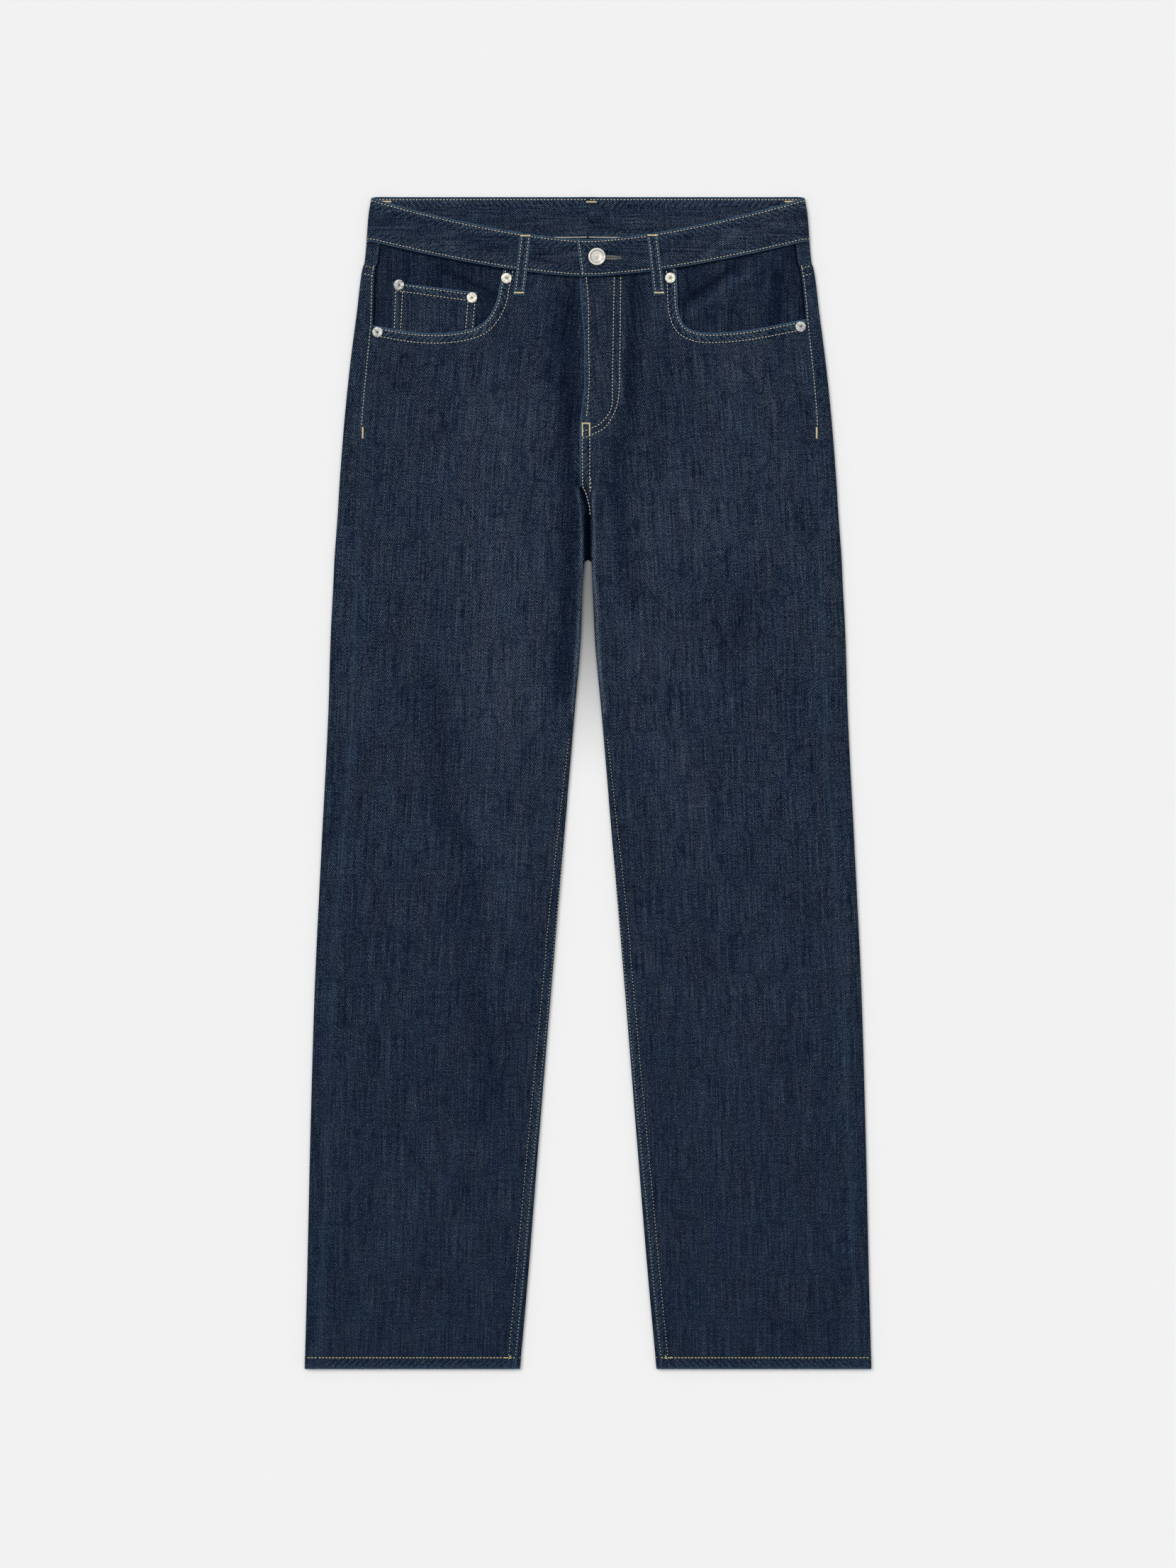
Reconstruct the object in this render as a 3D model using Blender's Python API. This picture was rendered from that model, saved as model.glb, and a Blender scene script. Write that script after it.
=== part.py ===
"""Loose straight-leg jeans, laid flat on a surface with the front up.

The tables are in millimetres and the meshes in metres. +X points to the wearer's left, +Y from the
hems to the waist, +Z off the surface. Left and right in the names are the wearer's. "down" is the
distance from the top of the back waistband towards the hems, and x the distance from the centre line.
"""

import math
from collections import namedtuple

import bmesh
import bpy

MM = 0.001
SIDES = {"right": -1, "left": 1}

# Driving dimensions
LENGTH = 1092.0
DENIM = 1.0
SEAM_GAP = 0.3
LAYER = DENIM + SEAM_GAP
AIR_AT_HIP = 3.6
AIR_AT_HEM = 3.4
HIP_DOWN = 300.0
KNEE_DOWN = 600.0
BAND_WALL = 2.0
BAND_PROUD = 0.8
HEM_HEIGHT = 10.8
HEM_EXTRA = 0.5

# The outline that is seen from above: half width outside, and half the gap between the legs
Outline = namedtuple("Outline", "down outer gap_right gap_left")
OUTLINE = (
    Outline(0, 201.6, 7.6, 4.0),
    Outline(15, 204.3, 7.6, 4.0),
    Outline(62, 208.4, 7.6, 4.0),
    Outline(65, 209.8, 7.6, 4.0),
    Outline(108, 215.5, 7.6, 4.0),
    Outline(160, 222.1, 7.6, 4.0),
    Outline(213, 227.4, 7.6, 4.0),
    Outline(271, 231.8, 7.6, 4.0),
    Outline(290, 232.9, 4.4, 2.6),
    Outline(306, 234.0, 3.1, 2.3),
    Outline(336, 236.2, 3.1, 3.1),
    Outline(360, 237.3, 4.9, 4.0),
    Outline(411, 239.9, 6.8, 6.3),
    Outline(477, 241.9, 12.2, 12.2),
    Outline(609, 248.5, 23.4, 23.4),
    Outline(741, 254.8, 34.5, 34.5),
    Outline(873, 258.7, 45.4, 45.0),
    Outline(1005, 261.7, 55.8, 55.8),
    Outline(1092, 264.0, 63.4, 63.8),
)

# How far the back wraps over the outer fold onto the front, up to the side seam
SideSeam = namedtuple("SideSeam", "down inset_right inset_left")
SIDE_SEAM = (
    SideSeam(0, 12.3, 12.9),
    SideSeam(65, 12.3, 12.9),
    SideSeam(95, 14.5, 13.0),
    SideSeam(125, 17.0, 14.2),
    SideSeam(220, 19.0, 15.8),
    SideSeam(320, 21.6, 20.0),
    SideSeam(530, 21.6, 21.6),
    SideSeam(620, 18.2, 18.2),
    SideSeam(740, 17.2, 17.2),
    SideSeam(950, 14.8, 14.8),
    SideSeam(1092, 11.9, 11.9),
)

# How far the inseam lies past the innermost line of the leg: onto the front, or under it if negative
Inseam = namedtuple("Inseam", "down wrap")
INSEAM = (
    Inseam(343, -1.2),
    Inseam(362, -2.6),
    Inseam(480, -2.6),
    Inseam(560, -2.0),
    Inseam(640, -0.1),
    Inseam(740, 1.0),
    Inseam(807, 1.6),
    Inseam(939, 3.5),
    Inseam(1092, 4.5),
)

# The edge of the left front that laps over the right front at the fly, wearer's right being negative
FlyEdge = namedtuple("FlyEdge", "down x")
FLY_EDGE = (
    FlyEdge(74, -7.9),
    FlyEdge(104, -6.1),
    FlyEdge(139, -3.6),
    FlyEdge(175, -3.6),
    FlyEdge(192, -5.2),
    FlyEdge(218, -7.9),
    FlyEdge(271, -7.4),
)
FLY_UNDERLAP = 15.0
RISE_UNDERLAP = 5.0
FLY_RAISED_TO = 14.0
FLY_LEVEL_FROM = 34.0

# The rise seam, where it sinks between the thighs: its place and how far it lies below the front
Sink = namedtuple("Sink", "down x drop")
SINKING_SEAM = (Sink(271, -7.4, 0.0), Sink(275, -5.0, 0.8), Sink(280, -3.4, 1.8), Sink(291, -0.4, 3.1))
SLOT_TOP = 271.0
SLOT_FULL = 298.0
CROTCH_EDGE = 338.0
CROTCH_CLEAR = 343.0

# The waistband: its dip at the front, its ends and the lap that carries the button
BAND_DIP_TOP = 38.3
BAND_TOP_AT_SIDE = 2.0
BAND_LOW_AT_CENTRE = 74.6
BAND_LOW_RISE = 32.3
BAND_DIP_POWER = 1.5
BAND_HALF = 200.0
BACK_BAND_LOW = 38.5
BACK_BAND_DROP = 2.5
BAND_LAP_END_TOP = -10.7
BAND_LAP_END_LOW = -6.3
BAND_UNDERLAP_END = 22.0
BAND_LAP_RAISED_TO = 27.0
BAND_LAP_LEVEL_FROM = 50.0

# The yoke across the back, deepest at the centre seam
YOKE_AT_SIDE = 62.7
YOKE_AT_CENTRE = 96.0
YOKE_DROP_TO_SEAM = 3.0

# The pocket mouths, from the waistband to the side seam
Spot = namedtuple("Spot", "x down")
Zone = namedtuple("Zone", "x_from x_to down_from down_to ramp height")
MOUTH = {
    "right": (
        Spot(78.6, 66.9), Spot(80.6, 76.0), Spot(82.5, 84.0), Spot(84.2, 94.0), Spot(87.9, 104.0),
        Spot(94.7, 114.5), Spot(105.3, 122.1), Spot(126.6, 126.7), Spot(149.3, 127.4),
        Spot(172.0, 125.1), Spot(200.6, 119.8),
    ),
    "left": (
        Spot(82.0, 66.4), Spot(82.7, 76.0), Spot(83.0, 86.0), Spot(83.4, 98.0), Spot(85.2, 110.2),
        Spot(89.6, 119.6), Spot(98.9, 125.1), Spot(112.9, 127.1), Spot(136.3, 125.8),
        Spot(159.7, 122.7), Spot(202.0, 114.2),
    ),
}
MOUTH_COLUMNS = 14
MOUTH_BEND_SHARE = 25.0
MOUTH_RAISE = Zone(72.0, 230.0, 60.0, 140.0, 14.0, 0.6)
FACING_INNER = 66.0
FACING_LOW = 142.0
FACING_CORNER = 32.0
FACING_DEPTH = (0.2, 0.7)
FACING_SLOPE_FROM_BAND = 25.0
FACING_SLOPE_FROM_SEAM = 14.0
COIN_POCKET = (Spot(181.8, 79.9), Spot(103.3, 89.1), Spot(106.0, 134.0), Spot(183.0, 136.0))

# Long soft folds of the fronts: the path of each trough, its half width and its depth
Fold = namedtuple("Fold", "path width depth")
FOLDS = (
    Fold((Spot(-30, 85), Spot(-25, 150), Spot(-20, 203), Spot(-16.5, 257)), 5.5, 1.5),
    Fold((Spot(-17, 300), Spot(-18.2, 364), Spot(-23.4, 418), Spot(-30, 475)), 5.5, 1.5),
    Fold((Spot(71, 140), Spot(68, 165), Spot(64, 203), Spot(62, 250)), 7.0, 1.2),
    Fold((Spot(40, 190), Spot(32, 246), Spot(31, 292), Spot(44, 370)), 6.0, 1.0),
    Fold((Spot(92, 340), Spot(80, 375), Spot(70, 415)), 10.0, 1.0),
    Fold((Spot(-172, 240), Spot(-163, 350), Spot(-150, 430)), 18.0, 1.0),
    Fold((Spot(-145, 450), Spot(-138, 508), Spot(-128, 610)), 16.0, 1.0),
    Fold((Spot(-100, 600), Spot(-107, 710), Spot(-95, 815), Spot(-100, 910)), 16.0, 0.9),
    Fold((Spot(120, 640), Spot(112, 760), Spot(128, 900)), 16.0, 0.8),
)

# Pieces on the waistband and the back. What lies on them is lifted by one layer.
LOOP_WIDTH = 10.2
LOOP_WALL = 1.6
BACK_LOOP_WALL = 1.2
LOOP_BELOW_BAND = 18.0
FRONT_LOOPS = {
    "right": (Spot(-58.0, 34.6), Spot(-64.4, 92.4)),
    "left": (Spot(59.7, 34.2), Spot(66.3, 92.4)),
}
SIDE_LOOP_X = 188.0
BACK_POCKET = (Spot(37, 114), Spot(185, 105), Spot(177, 238), Spot(112, 267), Spot(44, 245))
LIFTS = (
    Zone(33.0, 189.0, 103.0, 271.0, 4.0, DENIM + SEAM_GAP),
    Zone(-6.4, 6.4, -9.0, 63.0, 3.0, BACK_LOOP_WALL + SEAM_GAP),
    Zone(SIDE_LOOP_X - 6.4, SIDE_LOOP_X + 6.4, -9.0, 62.0, 3.0, BACK_LOOP_WALL + SEAM_GAP),
)

# Metal
RIVET_RADIUS = 4.9
RIVET_HEIGHT = 1.3
BUTTON_RADIUS = 8.2
BUTTON_HEIGHT = 2.4
RIVETS = {
    "rivet_pocket_right_inner": Spot(-76.0, 76.2),
    "rivet_pocket_right_outer": Spot(-196.0, 126.4),
    "rivet_pocket_left_inner": Spot(76.6, 75.9),
    "rivet_pocket_left_outer": Spot(198.0, 121.2),
    "rivet_coin_right_outer": Spot(-176.1, 82.2),
    "rivet_coin_right_inner": Spot(-108.1, 94.1),
}
BUTTON = Spot(8.3, 56.5)

# Rows and columns of the walls
LEG_ROWS = (
    400, 440, 480, 520, 560, 600, 640, 690, 745, 805, 865, 925, 985, 1035,
    LENGTH - HEM_HEIGHT - 0.6, LENGTH - HEM_HEIGHT + 0.6, LENGTH,
)
FRONT_ROWS = (
    200, 235, 264, SLOT_TOP, 275, 280, 285, 291, SLOT_FULL, 318, CROTCH_EDGE, CROTCH_CLEAR, 352, 362,
)
BACK_ROWS = (98.5, 103, 145, 185, 225, 271, 275, 305, CROTCH_EDGE, CROTCH_CLEAR, 352, 362)
FRONT_TOP_ROWS = 4
BACK_TOP_ROWS = 1
INNER_COLUMNS = 4
TURN_LEAD = 2.0
OUTER_FOLD_STEPS = 6
FLAT_FROM = 280.0
SHARED_FROM = 360.0


def smooth_step(value):
    """0 below 0, 1 above 1 and an even slope between."""
    value = min(1.0, max(0.0, value))
    return value * value * (3 - 2 * value)


def mix(a, b, share):
    return a + (b - a) * share


def along(table, column, down):
    """A column of a table at this distance down, on a smooth curve that never overshoots its rows."""
    downs = [row.down for row in table]
    values = [getattr(row, column) for row in table]
    if down <= downs[0]:
        return values[0]
    if down >= downs[-1]:
        return values[-1]
    slopes = [
        (values[i + 1] - values[i]) / (downs[i + 1] - downs[i]) for i in range(len(table) - 1)
    ]

    def tangent(i):
        if i == 0 or i == len(table) - 1:
            return slopes[min(i, len(slopes) - 1)]
        before, after = slopes[i - 1], slopes[i]
        return 0.0 if before * after <= 0 else 2 * before * after / (before + after)

    i = max(k for k in range(len(slopes)) if downs[k] <= down)
    step = downs[i + 1] - downs[i]
    t = (down - downs[i]) / step
    return (
        (2 * t**3 - 3 * t**2 + 1) * values[i]
        + (t**3 - 2 * t**2 + t) * step * tangent(i)
        + (3 * t**2 - 2 * t**3) * values[i + 1]
        + (t**3 - t**2) * step * tangent(i + 1)
    )


def curve_through(spots, steps=8):
    """A smooth curve through the spots, as a polyline with this many steps in each span."""
    points = [spots[0], *spots, spots[-1]]
    line = []
    for a, b, c, d in zip(points, points[1:], points[2:], points[3:]):
        for k in range(steps):
            t = k / steps
            line.append(Spot(*(
                0.5 * (2 * q + (r - p) * t + (2 * p - 5 * q + 4 * r - s) * t**2
                       + (3 * q - p - 3 * r + s) * t**3)
                for p, q, r, s in zip(a, b, c, d)
            )))
    return [*line, spots[-1]]


def resampled(line, count):
    """This many steps along a polyline, of equal length but shorter where it bends."""
    lengths, heading = [0.0], None
    for a, b in zip(line, line[1:]):
        before, heading = heading, math.atan2(b.down - a.down, b.x - a.x)
        bend = 0.0 if before is None else abs(heading - before)
        lengths.append(lengths[-1] + math.hypot(b.x - a.x, b.down - a.down) + MOUTH_BEND_SHARE * bend)
    spots = []
    for k in range(count + 1):
        want = lengths[-1] * k / count
        i = max(n for n in range(len(line) - 1) if lengths[n] <= want)
        share = (want - lengths[i]) / (lengths[i + 1] - lengths[i])
        spots.append(Spot(mix(line[i].x, line[i + 1].x, share), mix(line[i].down, line[i + 1].down, share)))
    return spots


def outer_half(down):
    return along(OUTLINE, "outer", down)


def gap_half(side, down):
    return along(OUTLINE, "gap_" + side, down)


def air(down):
    """The clear height inside the leg or the seat."""
    return mix(AIR_AT_HIP, AIR_AT_HEM, smooth_step((down - HIP_DOWN) / (KNEE_DOWN - HIP_DOWN)))


def fold_radius(down):
    """Outer radius of the fold at the sides of the leg."""
    return DENIM + air(down) / 2


def band_low_front(x):
    return BAND_LOW_AT_CENTRE - BAND_LOW_RISE * min(1.0, abs(x) / BAND_HALF) ** BAND_DIP_POWER


def band_top_front(x):
    share = min(1.0, abs(x) / BAND_HALF)
    return BAND_TOP_AT_SIDE + BAND_DIP_TOP * (1 - share**BAND_DIP_POWER)


def band_low_back(x):
    return BACK_BAND_LOW + BACK_BAND_DROP * (x / BAND_HALF) ** 2


def band_low_round(turn):
    """The waistband's lower edge over the fold at the side: 0 on the front, 1 under the back."""
    return mix(band_low_front(BAND_HALF), band_low_back(BAND_HALF), turn)


def yoke_low(x, on_top):
    if on_top:
        return YOKE_AT_SIDE + YOKE_DROP_TO_SEAM * (outer_half(YOKE_AT_SIDE) - x) / SIDE_SEAM[0].inset_right
    return YOKE_AT_SIDE + (YOKE_AT_CENTRE - YOKE_AT_SIDE) * max(0.0, 1 - x / outer_half(YOKE_AT_SIDE))


def slot_share(down):
    """0 where the fronts lie flat across the centre, 1 where both thighs are rounded off."""
    return min(1.0, max(0.0, (down - SLOT_TOP) / (SLOT_FULL - SLOT_TOP)))


def folds_height(x, down):
    """How far the front is raised or lowered by its soft folds. x is the wearer's left if positive."""
    height = 0.0
    for fold in FOLDS:
        first, last = fold.path[0].down, fold.path[-1].down
        if not first < down < last:
            continue
        middle = along(fold.path, "x", down)
        fade = math.sin(math.pi * (down - first) / (last - first)) ** 0.6
        near = (x - middle) / fold.width
        height -= fold.depth * fade * math.exp(-near * near / 2)
        height += 0.35 * fold.depth * fade * math.exp(-((abs(near) - 2.6) ** 2) / 1.4)
    return height


def zone_height(zone, x, down):
    outside = max(zone.x_from - x, x - zone.x_to, zone.down_from - down, down - zone.down_to, 0.0)
    return zone.height * (1 - smooth_step(outside / zone.ramp))


def lift(x, down):
    """How far the underside is raised over a pocket or a loop that lies under it."""
    return max(zone_height(zone, x, down) for zone in LIFTS)


def front_raise(side, x, down):
    """How far a front is raised: over the layers of the pocket, and where the left laps over the right."""
    seam_x = outer_half(down) - along(SIDE_SEAM, "inset_" + side, down)
    height = zone_height(MOUTH_RAISE, x, down) * smooth_step((seam_x - x) / 9.0)
    if side == "left":
        share = 1 - smooth_step((x - FLY_RAISED_TO) / (FLY_LEVEL_FROM - FLY_RAISED_TO))
        height += LAYER * share * (1 - slot_share(down))
    return height


def band_raise(side, x, down=0.0):
    """How far the waistband is raised, where its left end laps over the right one."""
    share = 1 - smooth_step((x - BAND_LAP_RAISED_TO) / (BAND_LAP_LEVEL_FROM - BAND_LAP_RAISED_TO))
    return (BAND_WALL + SEAM_GAP) * share if side == "left" else 0.0


class Wall:
    """The flattened tube of one side: a leg, or half of the seat above it.

    A place on it is a row, which is its distance down, and a distance "run" along the middle of the
    cloth from the outermost line of the outer fold: over the front if positive, under the back if
    negative. "out" is the distance from the middle of the cloth towards its outer face.
    """

    def __init__(self, side, down, cloth=DENIM, radius=None):
        self.side, self.down, self.cloth = side, down, cloth
        self.radius = radius or fold_radius(down)
        self.middle = self.radius - cloth / 2
        self.quarter = math.pi * self.middle / 2
        self.outer = outer_half(down)
        self.inner = gap_half(side, down)
        self.straight = self.outer - self.inner - 2 * self.radius
        self.front_end, self.front_turn = self.front_edge()

    def run_at(self, x):
        """The run on the front where the cloth is this far from the centre line."""
        return self.quarter + self.outer - self.radius - x

    def seam_x(self):
        return self.outer - along(SIDE_SEAM, "inset_" + self.side, self.down)

    def inner_x(self):
        """Where the cloth starts to turn over at the inside of the leg."""
        return self.inner + self.radius

    def front_edge(self):
        """How far the front runs past the start of its inner turn, and the angle that it turns by."""
        if self.down >= SLOT_FULL:
            return self.quarter - along(INSEAM, "wrap", self.down), math.pi
        if self.down < SLOT_TOP:
            return self.inner_x() - front_fly_x(self.side, self.down), 0.0
        across = self.inner_x() - SIDES[self.side] * along(SINKING_SEAM, "x", self.down)
        across -= SEAM_GAP / 2 + 0.5 * DENIM * slot_share(self.down)
        drop = along(SINKING_SEAM, "drop", self.down)
        straight = math.sqrt(across**2 - 2 * self.middle * drop + drop**2)
        angle = math.atan2(across, self.middle - drop) - math.atan2(straight, self.middle)
        return angle * self.middle + straight, angle

    def back_end(self):
        if self.down <= CROTCH_EDGE:
            return self.inner_x() - SEAM_GAP / 2
        end = self.quarter + along(INSEAM, "wrap", self.down) - SEAM_GAP
        return 0.75 * end if self.down <= CROTCH_CLEAR else end

    def inner_runs(self, end):
        """Runs over the front, from just before its inner turn to this far past the turn's start."""
        start = min(0.0, end - TURN_LEAD)
        return [
            self.quarter + self.straight + mix(start, end, j / INNER_COLUMNS) for j in range(INNER_COLUMNS + 1)
        ]

    def section(self, run, out):
        """(x, z) of a place on the cloth, without folds."""
        over, length = run >= 0, abs(run)
        reach = self.middle + out
        turned = length - self.quarter - self.straight
        if length <= self.quarter:
            angle = length / self.middle
            x, height = self.outer - self.radius + reach * math.cos(angle), reach * math.sin(angle)
        elif turned <= 0:
            x, height = self.outer - self.radius - (length - self.quarter), reach
        else:
            limit = self.front_turn if over else (0.0 if self.down <= CROTCH_EDGE else math.pi)
            angle = min(turned / self.middle, limit)
            rest = turned - angle * self.middle
            x = self.inner_x() - reach * math.sin(angle) - rest * math.cos(angle)
            height = reach * math.cos(angle) - rest * math.sin(angle)
        return x, self.radius + height if over else self.radius - height

    def point(self, run, out, raised=None):
        """The place in metres. The folds lower the front, and pieces under the back lift it."""
        x, z = self.section(run, out)
        level = (z - self.radius) / self.middle
        sign = SIDES[self.side]
        away = min(abs(self.outer - x), abs(x - self.inner) if self.down > SLOT_TOP else 99.0)
        if level > 0:
            edge = smooth_step((away - self.radius) / 6.0)
            z += folds_height(sign * x, self.down) * edge * min(1.0, level)
            z += raised(self.side, x, self.down) if raised else 0.0
        else:
            z += lift(x, self.down) * min(1.0, -level)
        return (sign * x * MM, (LENGTH / 2 - self.down) * MM, z * MM)


def front_level(side, x, down):
    """Height of a front's outer face where it lies flat."""
    return 2 * fold_radius(down) + folds_height(SIDES[side] * x, down) + front_raise(side, x, down)


def shell(name, outer, inner, material):
    """A closed wall between two grids of points, which are rows of the same length."""
    mesh = bmesh.new()
    skins = [[[mesh.verts.new(p) for p in row] for row in grid] for grid in (outer, inner)]
    rows, columns = len(outer), len(outer[0])
    for skin in skins:
        for i in range(rows - 1):
            for j in range(columns - 1):
                mesh.faces.new((skin[i][j], skin[i + 1][j], skin[i + 1][j + 1], skin[i][j + 1]))
    rim = [(i, 0) for i in range(rows)] + [(rows - 1, j) for j in range(1, columns)]
    rim += [(i, columns - 1) for i in range(rows - 2, -1, -1)] + [(0, j) for j in range(columns - 2, 0, -1)]
    for (a, b), (c, d) in zip(rim, rim[1:] + rim[:1]):
        mesh.faces.new((skins[0][a][b], skins[0][c][d], skins[1][c][d], skins[1][a][b]))
    bmesh.ops.recalc_face_normals(mesh, faces=mesh.faces)
    return finished(name, mesh, material)


def finished(name, mesh, material):
    """The object made from a bmesh, shaded smooth with its seams sharp."""
    data = bpy.data.meshes.new(name)
    mesh.to_mesh(data)
    mesh.free()
    data.materials.append(material)
    data.shade_smooth()
    data.set_sharp_from_angle(angle=math.radians(40))
    piece = bpy.data.objects.new(name, data)
    bpy.context.scene.collection.objects.link(piece)
    return piece


def cloth_skins(wall, run, thickness_out, thickness_in, raised=None):
    """The outer and the inner point of the cloth at a place."""
    return wall.point(run, thickness_out, raised), wall.point(run, -thickness_in, raised)


def hem_extra(wall, run):
    """How much the turned-up hem adds to the cloth, outwards and inwards. The underside stays flat."""
    if wall.down < LENGTH - HEM_HEIGHT:
        return 0.0, 0.0
    _, z = wall.section(run, 0.0)
    top = min(1.0, max(0.0, (z - wall.radius) / wall.middle))
    return HEM_EXTRA * top, HEM_EXTRA * (2 - top)


def wall_grid(name, places, material, raised=None):
    """A wall from rows of places, each a wall's row and its runs."""
    outer, inner = [], []
    for row in places:
        skins = []
        for wall, run in row:
            out, into = hem_extra(wall, run)
            skins.append(cloth_skins(wall, run, DENIM / 2 + out, DENIM / 2 + into, raised))
        outer.append([skin[0] for skin in skins])
        inner.append([skin[1] for skin in skins])
    return shell(name, outer, inner, material)


def share_across(side, x, down):
    """0 at the inner turn, 1 at the side seam."""
    wall = Wall(side, down)
    return (x - wall.inner_x()) / (wall.seam_x() - wall.inner_x())


def front_tops(side):
    """For each column of a front from its inner turn outwards: its top, and its share lower down."""
    mouth = resampled(curve_through(MOUTH[side]), MOUTH_COLUMNS)
    start = gap_half(side, 0) + fold_radius(0)
    band_shares = (0.0, 0.1, 0.26, 0.55)
    tops = []
    for share in band_shares:
        x = mix(start, mouth[0].x, share)
        tops.append((Spot(x, band_low_front(x) + SEAM_GAP), share * 0.3))
    for k, spot in enumerate(mouth):
        down = spot.down if k else band_low_front(spot.x) + SEAM_GAP
        x = Wall(side, down).seam_x() if k == MOUTH_COLUMNS else spot.x
        tops.append((Spot(x, down), mix(0.3, 1.0, k / MOUTH_COLUMNS)))
    return tops


def front_fly_x(side, down):
    """Edge of a front at the fly, from the centre line towards its own side."""
    edge = along(FLY_EDGE, "x", down)
    under = mix(FLY_UNDERLAP, RISE_UNDERLAP, smooth_step((down - 190) / 60))
    return edge if side == "left" else -(edge + under)


def front(side, material):
    """A front, from the waistband and the pocket mouth to the hem, and from the fly or inseam to the side."""
    tops = front_tops(side)
    places = []
    for k in range(FRONT_TOP_ROWS + len(FRONT_ROWS) + len(LEG_ROWS)):
        row = []
        for j in range(INNER_COLUMNS, 0, -1):
            start = band_low_front(0) + SEAM_GAP
            wall = Wall(side, front_down(start, k))
            row.append((wall, wall.inner_runs(wall.front_end)[j]))
        for top, share in tops:
            wall = Wall(side, front_down(top.down, k))
            at_top = share_across(side, top.x, top.down)
            across = mix(at_top, share, smooth_step(k / FRONT_TOP_ROWS))
            row.append((wall, mix(wall.inner_runs(wall.front_end)[0], wall.run_at(wall.seam_x()), across)))
        places.append(row)
    return wall_grid("front_" + side, places, material, front_raise)


def front_down(top, k):
    """Distance down of row k in a column that starts at this height."""
    if k < FRONT_TOP_ROWS:
        return mix(top, FRONT_ROWS[0], k / FRONT_TOP_ROWS)
    return (*FRONT_ROWS, *LEG_ROWS)[k - FRONT_TOP_ROWS]


def outer_runs(wall):
    """Runs from the side seam over the outer fold to the flat of the back."""
    seam = wall.run_at(wall.seam_x()) - SEAM_GAP
    over = [mix(seam, wall.quarter, j / 2) for j in range(2)]
    return over + [mix(wall.quarter, -wall.quarter, j / OUTER_FOLD_STEPS) for j in range(OUTER_FOLD_STEPS + 1)]


BACK_COLUMNS = (193, 189, 163, 137, 111, 85, 59, 33, 29)


def back(side, material):
    """A back, from the yoke to the hem. It wraps over the outer fold, and the inner one lower down."""
    places = []
    heights = [None] * BACK_TOP_ROWS + [*BACK_ROWS, *LEG_ROWS]
    for k, fixed in enumerate(heights):
        row = []
        reference = Wall(side, fixed or YOKE_AT_SIDE)
        runs = outer_runs(reference)
        xs = [None] * len(runs) + list(BACK_COLUMNS)
        for j, x in enumerate(xs):
            down = fixed
            if down is None:
                on_top = x is None and runs[j] > 0
                at = reference.section(runs[j], 0.0)[0] if x is None else x
                down = mix(yoke_low(at, on_top) + SEAM_GAP, BACK_ROWS[0], k / BACK_TOP_ROWS)
            wall = Wall(side, down)
            if x is None:
                row.append((wall, outer_runs(wall)[j]))
                continue
            share = (j - len(runs) + 1) / (len(BACK_COLUMNS) + 1)
            level = mix(wall.outer - wall.radius, wall.inner_x(), share)
            at = mix(x, level, smooth_step((down - FLAT_FROM) / (SHARED_FROM - FLAT_FROM)))
            row.append((wall, -wall.run_at(at)))
        for j in range(INNER_COLUMNS + 1):
            down = fixed or mix(YOKE_AT_CENTRE + SEAM_GAP, BACK_ROWS[0], k / BACK_TOP_ROWS)
            wall = Wall(side, down)
            row.append((wall, -wall.inner_runs(wall.back_end())[j]))
        places.append(row)
    return wall_grid("back_" + side, places, material)


YOKE_COLUMNS = (197.4, 194.4, 181.6, 178.6, 150, 120, 90, 60, 30, 9.4, 6.4, SEAM_GAP / 2)
YOKE_ROWS = 5


def yoke(side, material):
    """A yoke between the waistband and the back, from the side seam to the centre seam."""
    ends = [Wall(side, band_low_front(BAND_HALF)), Wall(side, YOKE_AT_SIDE)]
    columns = []
    for j in range(OUTER_FOLD_STEPS + 3):
        at_top, at_low = (end.section(outer_runs(end)[j], 0.0)[0] for end in ends)
        top = band_low_front(at_top) if j < 2 else band_low_round((j - 2) / OUTER_FOLD_STEPS)
        columns.append((j, top, yoke_low(at_low, outer_runs(ends[1])[j] > 0)))
    columns += [(x, band_low_back(x), yoke_low(x, False)) for x in YOKE_COLUMNS]
    places = []
    for k in range(YOKE_ROWS + 1):
        row = []
        for n, (column, top, low) in enumerate(columns):
            wall = Wall(side, mix(top + SEAM_GAP, low, k / YOKE_ROWS))
            row.append((wall, outer_runs(wall)[column] if n < OUTER_FOLD_STEPS + 3 else -wall.run_at(column)))
        places.append(row)
    return wall_grid("yoke_" + side, places, material)


BAND_FRONT_COLUMNS = (BAND_HALF, 180, 158, 136, 114, 90, 68, 50, 38, 27)
BAND_ROWS = 3


def band_end_x(side, share):
    """End of a waistband half at the fly, this share of the way down it, towards its own side."""
    if side == "left":
        return mix(BAND_LAP_END_TOP, BAND_LAP_END_LOW, share)
    return -BAND_UNDERLAP_END


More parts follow.
